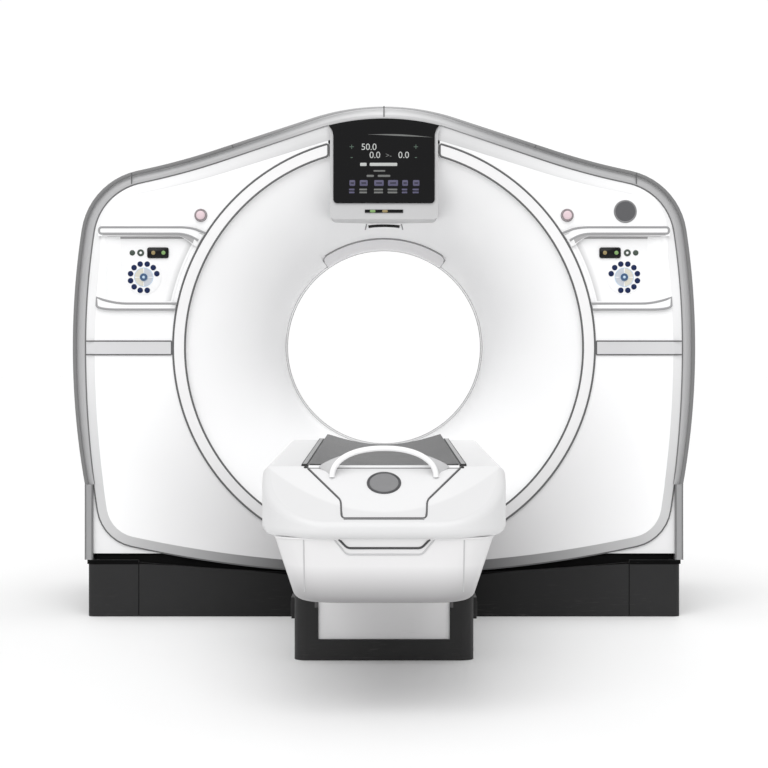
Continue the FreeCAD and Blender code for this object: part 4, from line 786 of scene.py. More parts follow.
def bellSpot(side, share, lift=0.0):
    # depth and radius on a funnel's skin, from 0 at the throat to 1 at the mouth
    bell = bells[side]
    rise, length = bell["mouth"] - throat, abs(bell["mouthDepth"] - bell["throatDepth"])
    radius = (rise * rise + length * length) / (2 * rise)
    turn = math.asin(length / radius) * share
    depth = bell["throatDepth"] + bell["facing"] * (radius + lift) * math.sin(turn)
    return depth, throat + radius - (radius + lift) * math.cos(turn)


def buildFunnel(side):
    bell = bells[side]
    half = bellSteps // 2
    inner = [bellSpot(side, step / bellSteps) for step in range(bellSteps + 1)]
    outer = [bellSpot(side, 0.97 * step / half, -bellWall) for step in range(half, -1, -1)]
    back = bell["mouthDepth"] - bell["facing"] * flangeWall
    lip = [(bell["mouthDepth"], bell["rim"]), (back, bell["rim"]), (back, outer[0][1] + 0.004)]
    look = ("gantry", "bellWhite", "cone")
    piece = turned(side + "Funnel", (0, isoHeight), inner + lip + outer, look, steps=144, closed=True)
    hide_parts(bell["node"])


def skinPatch(name, node, shares, halfAngle, lift, material, slot, steps):
    # a panel that lies on the front funnel, shaped as the skin is
    first, last = shares
    rows = 10
    outside = [bellSpot("front", first + (last - first) * step / rows, lift) for step in range(rows + 1)]
    inside = [bellSpot("front", first + (last - first) * step / rows, -0.002) for step in range(rows, -1, -1)]
    look = ("gantry", material, slot)
    middle = (0, isoHeight)
    piece = turned(name, middle, outside + inside, look, steps, True, -halfAngle, 2 * halfAngle)
    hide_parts(node)


def bellPath(shares, angles, lift, steps):
    # 3D points on the front funnel between two shares and two angles
    path = []
    for step in range(steps + 1):
        t = step / steps
        depth, radius = bellSpot("front", shares[0] + (shares[1] - shares[0]) * t, lift)
        turn = math.radians(angles[0] + (angles[1] - angles[0]) * t)
        path.append((radius * math.sin(turn), depth, isoHeight + radius * math.cos(turn)))
    return path


crescent = {"shares": (0.004, 0.286), "halfAngle": 35.0, "lift": 0.004, "turn": (0.060, 4.0), "seam": 0.0066}
lightWindow = {
    "shares": (0.433, 0.457),
    "halfAngle": 7.35,
    "lift": 0.002,
    "bracketAngles": (7.99, 9.01),
    "bracket": (0.474, 0.418),
    "bracketWidth": 0.005,
}
throatSeam = {"reach": 0.4002, "depths": (-0.0202, 0.1402), "width": 0.003}


def buildBoreDetails():
    for side in bells:
        buildFunnel(side)
    look = ("gantry", "seamSoft", "dark_glass")
    reach, lift = crescent["halfAngle"], crescent["lift"]
    first, last = crescent["shares"]
    skinPatch(
        "crescentSkin", "bore_crescent_panel", crescent["shares"], reach, lift, "crescentGrey", "crescent", 72
    )
    drop, turn = crescent["turn"]
    bend = bendPoints((last - drop, -reach), (last, -reach), (last, turn - reach), 8)
    spots = [(first, -reach), *bend, *denser([(last, turn - reach), (last, reach - turn)], 1.5)[1:-1]]
    spots += [(share, -angle) for share, angle in reversed(bend)] + [(first, reach)]
    outline = [bellPath((share, share), (angle, angle), lift * 0.6, 1)[0] for share, angle in spots]
    beads("crescentSeam", [outline], crescent["seam"], look)
    spread, lift = lightWindow["halfAngle"], lightWindow["lift"]
    skinPatch(
        "lightWindowSkin",
        "alignment_light_window",
        lightWindow["shares"],
        spread,
        lift,
        "displayGlass",
        "dark_glass",
        24,
    )
    angles = [[side * angle for angle in lightWindow["bracketAngles"]] for side in sides.values()]
    brackets = [bellPath(lightWindow["bracket"], pair, 0.0, 6) for pair in angles]
    beads("windowBrackets", brackets, lightWindow["bracketWidth"], look)
    circle = arcPoints(throatSeam["reach"], 0, 360, 120)[:-1]
    beads(
        "throatSeams",
        [atDepth(circle, depth) for depth in throatSeam["depths"]],
        throatSeam["width"],
        look,
        closed=True,
    )


buildBoreDetails()
print("the bore is dressed")


# the gantry's outline, as the covers and bands follow it

shell = {
    "crownRise": 0.917,
    "crownRadius": 0.843,
    "roofSlope": 18.6,
    "roofRun": 0.370,
    "valleyRadius": 2.680,
    "shoulderSlope": 12.5,
    "shoulderRun": 0.045,
    "shoulderRadius": 0.270,
    "sideLean": 8.6,
    "sideRadius": 2.980,
    "footDrop": 0.620,
    "footLean": 8.7,
    "coverCorner": 0.163,
    "floorTilt": 12.3,
    "bandWidth": 0.0463,
    "bandFoot": 0.500,
    "bandFront": -0.545,
    "coverFront": -0.550,
    "bevelWidth": 0.038,
    "bevelDepth": 0.012,
}
bandLines = {
    "seam": {"depth": -0.5392, "width": 0.011, "fromX": 0.206},
    "joint": {"turn": 4.0, "near": 0.003, "short": 0.001, "proud": 0.0018, "width": 0.0042},
    "tick": {"run": 0.3250, "far": 0.016},
    "rim": {"inset": 0.0078, "sink": 0.0020, "width": 0.0150},
    "swell": {"least": 0.45, "fromX": 0.10, "over": 0.45},  # thinner towards the top of the gantry
}


def walk(state, moves, inset=0.0):
    # follows arcs (radius, end angle) and straights (None, run), and gives points set inwards
    x, z, normal = state
    points = []
    for radius, measure in moves:
        if radius is None:
            points.append((x - inset * math.sin(normal), z - inset * math.cos(normal)))
            x, z = x + measure * math.cos(normal), z - measure * math.sin(normal)
            continue
        centreX, centreZ = x - radius * math.sin(normal), z - radius * math.cos(normal)
        end = math.radians(measure)
        steps = max(3, math.ceil(abs(end - normal) * abs(radius) / 0.03))
        for step in range(steps):
            turn = normal + (end - normal) * step / steps
            reach = radius - inset
            points.append((centreX + reach * math.sin(turn), centreZ + reach * math.cos(turn)))
        x, z, normal = centreX + radius * math.sin(end), centreZ + radius * math.cos(end), end
    points.append((x - inset * math.sin(normal), z - inset * math.cos(normal)))
    return points, (x, z, normal)


crownStart = (0.0, isoHeight + shell["crownRise"], 0.0)
upperMoves = [
    (shell["crownRadius"], shell["roofSlope"]),
    (None, shell["roofRun"]),
    (-shell["valleyRadius"], shell["shoulderSlope"]),
    (None, shell["shoulderRun"]),
    (shell["shoulderRadius"], 90 - shell["sideLean"]),
    (shell["sideRadius"], 90),
]
widest = walk(crownStart, upperMoves)[1]
coverRadius = shell["footDrop"] / math.sin(math.radians(shell["footLean"]))
footTurn = math.degrees(math.asin((widest[1] - shell["bandFoot"]) / coverRadius))
footSweep = math.degrees(math.asin((widest[1] - shell["bandFoot"]) / shell["sideRadius"]))
coverWidest = (widest[0] - shell["bandWidth"], widest[1], math.radians(90))
coverFoot = walk(coverWidest, [(coverRadius, 90 + footTurn)])[1]
lowerMoves = [(coverRadius, 90 + shell["footLean"]), (shell["coverCorner"], 180 - shell["floorTilt"])]


def lowerEdge(inset, start=coverFoot):
    # the right edge from the start, the cover's by default, to the middle of the bottom
    path, state = walk(start, lowerMoves, inset)
    floorRadius = state[0] / math.sin(math.radians(shell["floorTilt"]))
    return path[:-1] + walk(state, [(floorRadius, 180)], inset)[0]


def coverEdge():
    # the upper part of the cover's right edge, and the part beside the side band
    return walk(crownStart, upperMoves, shell["bandWidth"])[0], walk(
        coverWidest, [(coverRadius, 90 + footTurn)]
    )[0]


def bevelDepthAt(inset):
    share = inset / shell["bevelWidth"]
    return shell["coverFront"] + shell["bevelDepth"] * (1 - share)


def crownSwell(path):
    least, start, over = bandLines["swell"].values()
    shares = [max(0.0, (abs(point[0]) - start) / over) for point in path]
    return [min(1.0, least + (1 - least) * share) for share in shares]


def bandSeams():
    # the joint between the cover and the band, and the band's own joints
    seam, marks, tick, edging = (bandLines[key] for key in ("seam", "joint", "tick", "rim"))
    near, width = marks["near"], shell["bandWidth"]
    edge = [point for part in coverEdge() for point in part if point[0] > seam["fromX"]]
    frontSeam("bandSeam", mirrored(edge), seam["depth"], seam["width"], "bandShade", swell=crownSwell(edge))
    x, z, _ = walk(
        crownStart, upperMoves[:4] + [(shell["shoulderRadius"], shell["shoulderSlope"] + marks["turn"])]
    )[1]
    joint = [(x, z - drop) for drop in (near, width - marks["short"])]
    centre = [(0.0, crownStart[1] - drop) for drop in (near, width)]
    x, z, turn = walk(crownStart, [upperMoves[0], (None, tick["run"])])[1]
    stroke = [(x - inset * math.sin(turn), z - inset * math.cos(turn)) for inset in (near, tick["far"])]
    lines = mirrored(joint) + mirrored(stroke) + [centre]
    frontSeam("bandJoints", lines, shell["bandFront"] - marks["proud"], marks["width"], "seamGrey")
    # a dark bead inside the band's outer edge: painted shade of its rounded edge
    line = walk(crownStart, upperMoves, edging["inset"])[0]
    line += walk(widest, [(shell["sideRadius"], 90 + footSweep)], edging["inset"])[0]
    depth = shell["bandFront"] + edging["sink"]
    frontSeam(
        "bandEdgeShade", mirrored(line), depth, edging["width"], "bandShade", flatness=0.5, swell=crownSwell(line)
    )


# sizes of the strips of painted shade on the cover's bevel
facets = {
    "rows": 6,
    "near": 0.0005,
    "crown": {"x": (0.204, 0.955), "wide": 0.058, "narrow": 0.040},  # widest beside the display
    "flank": {"high": 1.600, "wide": 0.0372, "narrow": 0.004},
    "foot": {"insets": (0.0008, 0.0372), "proud": 0.0003, "seam": 0.008},
}


def shelfPath(points, near, width):
    # rows of a skin that lies on the cover's bevel and on past it
    rows, last = [], facets["rows"] - 1
    for row in range(last + 1):
        path = []
        for state, reach in zip(points, width):
            bend = min(reach, shell["bevelWidth"])
            inset = near + (bend - near) * row / (last - 1) if row < last else max(reach, bend + 0.0006)
            x, z, turn = state
            depth = bevelDepthAt(min(inset, shell["bevelWidth"])) - 0.0004
            path.append((x - inset * math.sin(turn), depth, z - inset * math.cos(turn)))
        rows.append(path)
    return rows


def turnsAlong(path):
    # gives each point of an outline the direction that its outside faces
    states = []
    for number, (x, z) in enumerate(path):
        before, after = path[max(0, number - 1)], path[min(len(path) - 1, number + 1)]
        states.append((x, z, math.atan2(-(after[1] - before[1]), after[0] - before[0])))
    return states


def edgeBevelShades():
    # painted shade on the cover's bevel: a soft grey strip under the bands, and a grey rim round the foot of
    # the cover
    near, crown, flank, foot = (facets[key] for key in ("near", "crown", "flank", "foot"))
    edge, lowEdge = coverEdge()
    states = turnsAlong(denser(edge[:-1] + lowEdge))
    start, end = crown["x"]
    over = [state for state in states if start < state[0] < end and state[1] > flank["high"]]
    shares = [(state[0] - start) / (end - start) for state in over]
    overWidth = [crown["wide"] + (crown["narrow"] - crown["wide"]) * share**0.9 for share in shares]
    along = [state for state in states if state[1] < flank["high"]]
    shares = [min(1.0, 4.0 * number / (len(along) - 1)) for number in range(len(along))]
    alongWidth = [flank["narrow"] + (flank["wide"] - flank["narrow"]) * share for share in shares]
    rim = [atDepth(lowerEdge(inset), bevelDepthAt(inset) - foot["proud"]) for inset in foot["insets"]]
    skins = {
        "crownBevelShade_": (shelfPath(over, near, overWidth), "bevelShadeGrey"),
        "flankBevelShade_": (shelfPath(along, near, alongWidth), "flankShadeGrey"),
        "footRimShade_": (rim, "rimShadeGrey"),
    }
    for label, side in sides.items():
        for name, (rows, material) in skins.items():
            ribbon(name + label, [flipped(row, side) for row in rows], ("gantry", material, "cover"))
    frontSeam("footOuterSeam", mirrored(lowerEdge(near)), bevelDepthAt(near), foot["seam"])


bandSeams()
edgeBevelShades()
print("the outline has its seams")


# the rear cover with its joints, doors and air slots, and the sides

rearShell = {
    "face": 0.5488,
    "near": 0.5226,
    "bevel": (0.022, 0.009),
    "opening": 0.5996,
    "door": {"x": (0.655, 1.045), "z": (0.300, 0.905), "turn": 0.045},
    "slots": {"x": (0.735, 0.965), "z": 0.380},
    "screw": {"radius": 0.0075, "inset": 0.030},
    "seam": {"width": 0.005, "proud": 0.0001, "top": 0.024, "bottom": 0.184},
    "ringSeam": (0.6002, 0.0055),
    "gap": {"inset": 0.0045, "y": (0.5170, 0.5260), "thick": 0.002},
}
airSlot = {"count": 8, "pitch": 0.021, "height": 0.0070, "turn": 0.0034}


def rearOutline(inset):
    # the whole outline, from the top round to the top again
    half = walk(crownStart, upperMoves, inset)[0][:-1] + lowerEdge(inset, widest)
    half[0], half[-1] = (0.0, half[0][1]), (0.0, half[-1][1])
    return half + [(-x, z) for x, z in reversed(half[1:-1])]


def buildRearCover():
    face, near, opening = rearShell["face"], rearShell["near"], rearShell["opening"]
    width, drop = rearShell["bevel"]
    outline = rearOutline(0.0)
    loops = [
        atDepth(outline, near),
        atDepth(outline, face - drop),
        atDepth(rearOutline(width * 0.3), face - drop * 0.35),
        atDepth(rearOutline(width), face),
    ]
    hole = arcPoints(opening, 0, 360, 144)[:-1]
    outside = bridged("rearShell", loops, True, False)
    inside = bridged("rearHole", [atDepth(hole, face), atDepth(hole, near)], True, False)
    piece = joinPieces("rearShell", [outside, inside])
    choose(piece)
    for depth in (face, near):
        selectEdges(piece, lambda first, last: max(abs(first.y - depth), abs(last.y - depth)) < 0.0001)
        bpy.ops.mesh.fill()
        leaveEdit()
    placePiece(piece, "rearShell", ("gantry", "coverWhite", "cover"), 25)
    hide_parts("rear_cover")
    gap = rearShell["gap"]
    sleeve = bridged(
        "rearGap", [atDepth(rearOutline(gap["inset"]), depth) for depth in gap["y"]], True, False
    )
    thicken(sleeve, gap["thick"])
    placePiece(sleeve, "rearGap", ("gantry", "shadowGap", "dark_glass"))


def airSlots(name, low, spans):
    # rows of flat dark slots, each row from the first to the last (x, y) of its span
    parts = []
    for number in range(airSlot["count"]):
        z = low + airSlot["pitch"] * number
        for first, last in spans:
            ends = (*first, z), (*last, z + airSlot["height"])
            parts.append(
                slab("airSlot", *ends, airSlot["turn"], ("gantry", "shadowGap", "dark_glass"), 0.0001)
            )
    joinPieces(name, parts)


def buildRearDetails():
    face, opening, seam = rearShell["face"], rearShell["opening"], rearShell["seam"]
    depth, width = face + seam["proud"], seam["width"]
    heights = (crownStart[1] - seam["top"], isoHeight + opening), (isoHeight - opening, seam["bottom"])
    frontSeam("rearCentreSeams", [[(0.0, z) for z in pair] for pair in heights], depth, width)
    radius, ringWidth = rearShell["ringSeam"]
    frontSeam("rearRingSeam", [arcPoints(radius, 0, 360, 144)[:-1]], depth, ringWidth, closed=True)
    door, slots = rearShell["door"], rearShell["slots"]
    screw, inset = rearShell["screw"]["radius"], rearShell["screw"]["inset"]
    (near, far), (low, high) = door["x"], door["z"]
    outline = rounded([(near, low), (near, high), (far, high), (far, low)], door["turn"])
    frontSeam("rearDoorSeams", mirrored(outline), depth, width, closed=True)
    rises = (0.0010, 0.0), (0.0010, screw * 0.72), (0.0005, screw), (-0.0006, screw), (-0.0006, 0.0)
    head = [(face + rise, reach) for rise, reach in rises]
    spots = [(x, z) for x in (near + inset, far - inset) for z in (low + inset, high - inset)]
    for label, side in sides.items():
        first, last = sorted(side * x for x in slots["x"])
        airSlots("rearSlots_" + label, slots["z"], [((first, face - 0.0008), (last, face + 0.0005))])
        heads = [
            turned("screwHead", spot, head, ("gantry", "stripGrey", "strip"), 20)
            for spot in flipped(spots, side)
        ]
        joinPieces("rearScrews_" + label, heads)


sideShell = {
    "panel": 1.1346,
    "slots": {"y": ((-0.420, -0.120), (0.120, 0.420)), "z": 0.268},
    "shoulder": {"y": (-0.500, 0.518), "sink": (0.0005, 0.0010)},
    "foot": {"x": 1.1336, "y": (-0.540, 0.516), "z": 0.4998},
    "plinthJoint": {"x": 1.1214, "z": (0.004, 0.210)},
    "edges": {"x": (1.1315, 1.1070), "y": -0.5440, "z": (0.2150, 0.4990), "width": 0.0060},
    "seam": 0.0042,
}


def buildSides():
    slots, face = sideShell["slots"], sideShell["panel"]
    shoulder = walk(crownStart, upperMoves[:4])[1]
    upper, foot, joint, edges = (sideShell[key] for key in ("shoulder", "foot", "plinthJoint", "edges"))
    lines = [
        [(shoulder[0] - upper["sink"][0], y, shoulder[1] - upper["sink"][1]) for y in upper["y"]],
        [(foot["x"], y, foot["z"]) for y in foot["y"]],
        [(joint["x"], 0.0, z) for z in joint["z"]],
    ]
    corners = [[(x, edges["y"], z) for z in edges["z"]] for x in edges["x"]]
    for label, side in sides.items():
        first, last = sorted((side * (face - 0.0008), side * (face + 0.0006)))
        airSlots("sideSlots_" + label, slots["z"], [((first, near), (last, far)) for near, far in slots["y"]])
        for name, paths, width, material in (
            ("panelEdges_", corners, edges["width"], "bandShade"),
            ("sideSeams_", lines, sideShell["seam"], "seamDark"),
        ):
            beads(
                name + label,
                [flipped(path, side) for path in paths],
                width,
                ("gantry", material, "dark_glass"),
            )


buildRearCover()
buildRearDetails()
buildSides()
print("the rear and the sides have their joints and slots")


# ring trim

ring = {"inner": 0.7535, "outer": 0.7985, "endX": 0.2112, "front": -0.5562, "corner": 0.010, "seam": 0.0075}


def buildRingSeams():
    # one closed line: both arcs, and the soft turns beside the display
    end, corner = ring["endX"], ring["corner"]
    tips, arcs = [], []
    for radius in (ring["inner"], ring["outer"]):
        tips.append((end, isoHeight + math.sqrt(radius**2 - end**2)))
        stop = math.degrees(math.asin((end + corner) / radius))
        arcs.append(arcPoints(radius, stop, 360 - stop, 150))
    inner, outer = arcs
    turns = []
    for side, number in ((1, 0), (-1, -1)):
        low, high = flipped(tips, side)
        turn = bendPoints(inner[number], low, towards(low, high, corner))
        turns.append(turn + bendPoints(towards(high, low, corner), high, outer[number]))
    path = turns[0] + outer[1:-1] + turns[1][::-1] + inner[1:-1][::-1]
    frontSeam("ringSeam", [path], ring["front"], ring["seam"], closed=True)


buildRingSeams()
print("the ring trim has its seam")


# control panels: ledges, dials, buttons and lamps

ledge = {
    "front": -0.5624,
    "upper": {
        "outer": 1.0775,
        "high": 1.4735,
        "low": 1.4495,
        "bend": 0.775,
        "ringHigh": (0.6745, 1.4510),
        "ringLow": (0.7030, 1.4235),
    },
    "lower": {
        "outer": 1.0870,
        "high": 1.1850,
        "low": 1.1625,
        "flareX": 1.000,
        "flareTop": 1.2085,
        "ringX": (0.7835, 0.7890),
    },
    "node": {"upper": ((0.698, 1.452), (0.7235, 1.408)), "lower": ((0.803, 1.191), (0.809, 1.160))},
    "seam": 0.0085,
    "ringReach": 0.8045,
    "shade": {
        "x": (0.700, 1.062),
        "high": [(0.7165, 1.4320), (0.7310, 1.4395), (0.7520, 1.4437), (0.7760, 1.4455)],
        "low": [(0.7235, 1.4125), (0.7397, 1.4238), (0.7550, 1.4330), (0.7710, 1.4405)],
        "floor": (1.4400, 1.4310),
    },
    "ramp": {"x": (0.998, 1.0640), "z": (1.1925, 1.4390), "y": (-0.5413, -0.5503)},
    "side": {"reach": (0.8172, 0.8505), "z": (1.1950, 1.4230)},
}


def ledgePaths():
    high, low = ledge["upper"], ledge["lower"]
    soft = 0.011
    upper = [high["ringHigh"]] + bendPoints(
        (0.712, 1.4660), (0.742, high["high"]), (high["bend"], high["high"])
    )
    upper += bendPoints(
        (high["outer"] - soft, high["high"]),
        (high["outer"], high["high"]),
        (high["outer"], high["high"] - soft),
    )
    upper += bendPoints(
        (high["outer"], high["low"] + soft), (high["outer"], high["low"]), (high["outer"] - soft, high["low"])
    )
    upper += bendPoints(
        (high["bend"] + 0.01, high["low"]), (high["bend"] - 0.035, high["low"]), high["ringLow"]
    )
    lower = [(low["ringX"][0], low["high"])]
    lower += bendPoints(
        (low["flareX"] - 0.03, low["high"]),
        (low["flareX"] + 0.03, low["high"]),
        (low["outer"], low["flareTop"]),
    )
    lower += bendPoints(
        (low["outer"], low["low"] + 0.016),
        (low["outer"], low["low"] + 0.002),
        (low["outer"] - 0.07, low["low"]),
    )
    lower += [(low["ringX"][1], low["low"])]
    return upper, lower


def buildLedgeTips(label, side):
    # the ledges' last few millimetres, which come down onto the ring
    for place, (top, bottom) in ledge["node"].items():
        outer, inner = [], []
        for step in range(9):
            x = top[0] + (bottom[0] - top[0]) * step / 8
            z = top[1] + (bottom[1] - top[1]) * step / 8
            share = ledge["ringReach"] / math.hypot(x, z - isoHeight)
            outer.append((side * x * 1.004, -0.5608, z))
            inner.append((side * x * share, -0.5560, isoHeight + (z - isoHeight) * share))
        ribbon("ledgeTip_%s_%s" % (place, label), [outer, inner], ("gantry", "bezelWhite", "bezel"), 0.003)


def buildLedgeSeams():
    upper, lower = ledgePaths()
    shade, ramp, wall = ledge["shade"], ledge["ramp"], ledge["side"]
    for label, side in sides.items():
        paths = [flipped(path, side) for path in (upper, lower)]
        frontSeam("ledgeSeams_" + label, paths, ledge["front"], ledge["seam"], "seamSoft")
        buildLedgeTips(label, side)
        near, far = shade["x"]
        rows = [
            [*shade["high"], (far, shade["high"][-1][1])],
            [*shade["low"], (far + 0.006, shade["low"][-1][1] + 0.002)],
        ]
        skins = [atDepth(flipped(row, side), ledge["front"] - 0.0001) for row in rows]
        ribbon("ledgeShade_front_" + label, skins, ("gantry", "shadeGrey", "bezel"))
        top, bottom = shade["floor"]
        steps = [near + (far - near) * step / 12 for step in range(13)]
        thin = [min(1.0, 6 * min(step, 12 - step) / 12 + 0.05) for step in range(13)]
        rows = [
            [(x, top) for x in steps], [(x, top + (bottom - top) * share) for x, share in zip(steps, thin)]
        ]
        ribbon(
            "ledgeShade_floor_" + label,
            [atDepth(flipped(row, side), -0.5415) for row in rows],
            ("gantry", "shadeGrey", "bezel"),
        )
        # the outer side of the opening rises softly to the cover
        (first, last), (low, high), (deep, proud) = ramp["x"], ramp["z"], ramp["y"]
        rows = []
        for step in range(7):
            t = step / 6
            depth = deep + (proud - deep) * (3 * t * t - 2 * t**3)
            rows.append(
                [(side * (first + (last - first) * t), depth, low + (high - low) * n / 4) for n in range(5)]
            )
        ribbon("recessRamp_" + label, rows, ("gantry", "coverWhite", "cover"), 0.0006)
        arcs = []
        for reach in wall["reach"]:
            turns = [math.acos((z - isoHeight) / reach) for z in wall["z"]]
            arcs.append(
                [
                    (
                        side * reach * math.sin(turns[0] + (turns[1] - turns[0]) * n / 20),
                        -0.5416,
                        isoHeight + reach * math.cos(turns[0] + (turns[1] - turns[0]) * n / 20),
                    )
                    for n in range(21)
                ]
            )
        ribbon("recessShade_" + label, arcs, ("gantry", "recessShadeTone", "bezel"))


dial = {
    "x": 0.91106,
    "z": 1.2855,
    "floor": -0.5410,
    "plate": 0.066,
    "keyCircle": 0.0515,
    "key": 0.0105,
    "disc": 0.034,
    "keys": 10,
    "firstAngle": 75,  # from upright towards the bore, then on round in steps
    "step": 30,
}


def buildDial(label, side):
    centre = (side * dial["x"], dial["z"])
    floor = dial["floor"]
    face = floor - 0.0022
    plate = [
        (face, 0.0),
        (face, dial["plate"] - 0.003),
        (face + 0.0009, dial["plate"]),
        (floor + 0.0005, dial["plate"]),
        (floor + 0.0005, 0.0),
    ]
    piece = turned("dialPlate_" + label, centre, plate, ("gantry", "padGrey", "keypad"), 64)
    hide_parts("keypads")
    keys = []
    for number in range(dial["keys"]):
        angle = math.radians(dial["firstAngle"] - dial["step"] * number)
        place = (
            centre[0] - side * dial["keyCircle"] * math.sin(angle),
            centre[1] + dial["keyCircle"] * math.cos(angle),
        )
        profile = domeProfile(dial["key"], 0.0022, face - 0.0012, face + 0.0005)
        key = turned("dialKey_%s_%d" % (label, number), place, profile, ("gantry", "keyBlue", "keypad"), 24)
        keys.append(key)
    piece = joinPieces("dialKeys_" + label, keys)
    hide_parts("keypads")
    disc = ringProfile(0.0146, dial["disc"], face - 0.0006, face + 0.0004, 0.0003)
    colors = ("padCool", "padCool", "padBeige", "padBeige")
    for number, material in enumerate(colors):
        name = "dialQuarter_%s_%d" % (label, number)
        look = ("gantry", material, "keypad")
        piece = turned(name, centre, disc, look, 16, True, 90 * number + (3 if side < 0 else 183), 84)
        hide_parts("keypads")
    rim = ringProfile(dial["disc"] + 0.0003, dial["disc"] + 0.0026, face - 0.0009, face + 0.0004, 0.0004)
    piece = turned("dialRim_" + label, centre, rim, ("gantry", "padBlue", "keypad"), 56, True)
    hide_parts("keypads")
    collar = ringProfile(0.0142, 0.0152, -0.5462, face + 0.0004, 0.0003)
    turned("startCollar_" + label, centre, collar, ("gantry", "padBlue", "keypad"), 40, True)
    crown = domeProfile(0.0052, 0.0010, -0.5470, -0.5468)
    turned(
        "startCentre_" + label, centre, crown, ("start_button_%s_body" % label, "padBlue", "start_blue"), 24
    )


indicator = {
    "z": 1.3780,
    "dot": (0.9545, 0.0105),
    "ringButton": (0.9227, 0.0132),
    "window": {"x": (0.8173, 0.8968), "z": (1.3585, 1.3975), "front": -0.5453},
    "lamps": {
        "left": {"lampAmber": -0.8745, "lampGreen": -0.8360},
        "right": {"lampAmber": 0.8375, "lampGreen": 0.8810},
    },
    "lampRadius": 0.0078,
}


def buildIndicators(label, side):
    floor, height = dial["floor"], indicator["z"]
    x, radius = indicator["dot"]
    turned(
        "dotButton_" + label,
        (side * x, height),
        domeProfile(radius, 0.0025, floor - 0.001, floor + 0.0004),
        ("gantry", "buttonGreen", "keypad"),
        28,
    )
    x, radius = indicator["ringButton"]
    ringShape = ringProfile(0.0052, radius, floor - 0.0030, floor + 0.0004, 0.0012)
    turned(
        "ringButton_" + label, (side * x, height), ringShape, ("gantry", "buttonGreen", "keypad"), 32, True
    )
    turned(
        "ringPip_" + label,
        (side * x, height),
        domeProfile(0.0051, 0.0012, floor - 0.0012, floor + 0.0004),
        ("gantry", "padGrey", "keypad"),
        24,
    )
    window = indicator["window"]
    front = window["front"]
    (near, far), (low, high) = window["x"], window["z"]
    low, high = low - 0.001, high + 0.001
    corners = sorted((side * (near - 0.001), side * (far + 0.001)))
    piece = slab(
        "lampFrame_" + label,
        (corners[0], front - 0.0008, low),
        (corners[1], floor + 0.0004, high),
        0.008,
        ("gantry", "displayGlass", "dark_glass"),
        0.0008,
    )
    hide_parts("lamp_windows")
    for material, place in indicator["lamps"][label].items():
        profile = domeProfile(indicator["lampRadius"], 0.0016, front - 0.0007, front)
        turned(material + "_" + label, (place, height), profile, ("gantry", material, "keypad"), 28)


stopKnob = {
    "x": 0.69398,
    "z": 1.5196,
    "front": -0.562,
    "cap": 0.0162,
    "inner": (0.0166, 0.0218),
    "collar": (0.0221, 0.0245),
}


def buildStop(label, side):
    centre = (side * stopKnob["x"], stopKnob["z"])
    body = "stop_button_%s_body" % label
    cap = domeProfile(stopKnob["cap"], 0.0030, stopKnob["front"] - 0.0002, stopKnob["front"] + 0.001, 8)
    turned("stopCap_" + label, centre, cap, (body, "stopPink", "stop_red"), 40)
    groove = ringProfile(*stopKnob["inner"], stopKnob["front"] - 0.0006, stopKnob["front"] + 0.001, 0.0006)
    turned("stopGroove_" + label, centre, groove, (body, "stopRing", "stop_red"), 40, True)
    collar = ringProfile(*stopKnob["collar"], -0.5532, -0.5497, 0.0012)
    turned("stopCollar_" + label, centre, collar, ("gantry", "stopRing", "ring"), 44, True)


trim = {"x": (0.8045, 1.1275), "z": (0.9918, 1.0432), "front": -0.5544}


def buildPanels():
    buildLedgeSeams()
    for label, side in sides.items():
        buildDial(label, side)
        buildIndicators(label, side)
        buildStop(label, side)
        near, far = trim["x"]
        lines = [flipped([(near, height), (far, height)], side) for height in trim["z"]]
        lines.append(flipped([(near, trim["z"][0]), (near, trim["z"][1])], side))
        frontSeam("trimEdges_" + label, lines, trim["front"], 0.005)


buildPanels()
print("the control panels are dressed")


# display: digits, plain bars, icons and a soft reflection

screen = {
    "front": -0.5710,
    "digits": [("50.0", -0.0570, 1.7756), ("0.0", -0.0344, 1.7450), ("0.0", 0.0744, 1.7450)],
    "digitSize": 0.0345,
    "pointer": (">-", 0.0174, 1.7437, 0.026),
    "signs": {"+": 1.7754, "-": 1.7391},
    "signX": (-0.1220, 0.1205),
    "bars": [
        (-0.0903, -0.0657, 1.7104, 0.012, "glyphWhite"),
        (-0.0540, 0.0499, 1.7104, 0.012, "glyphWhite"),
        (-0.0397, 0.0049, 1.6859, 0.006, "glyphGrey"),
        (-0.0657, -0.0381, 1.6670, 0.008, "glyphGrey"),
        (-0.0238, 0.0238, 1.6670, 0.008, "glyphGrey"),
    ],
    "iconRows": (1.6402, 1.6100),
    "icons": [
        (-0.1197, 0.0215),
        (-0.0767, 0.030),
        (-0.0189, 0.036),
        (0.0340, 0.038),
        (0.0797, 0.0215),
        (0.1216, 0.0245),
    ],
    "gloss": {"x": (-0.061, 0.182), "z": 1.8236, "sag": 0.011, "width": 0.006},
    "slot": {
        "z": 1.5340,
        "front": -0.5680,
        "lamps": {"lampGreen": -0.0427, "lampAmber": 0.0038},
        "half": (0.0105, 0.0050),
    },
}


def screenText(name, text, x, z, size, material):
    bpy.ops.object.text_add(location=(0, 0, 0))
    piece = bpy.context.object
    piece.data.body = text
    piece.data.size = size
    piece.data.align_x = "CENTER"
    piece.data.align_y = "CENTER"
    piece.data.extrude = 0.0002
    bpy.ops.object.convert(target="MESH")
    piece = bpy.context.object
    piece.rotation_euler = (math.radians(90), 0, 0)
    piece.location = (x, screen["front"] - 0.0002, z)
    return placePiece(piece, name, ("gantry", material, "dark_glass"))


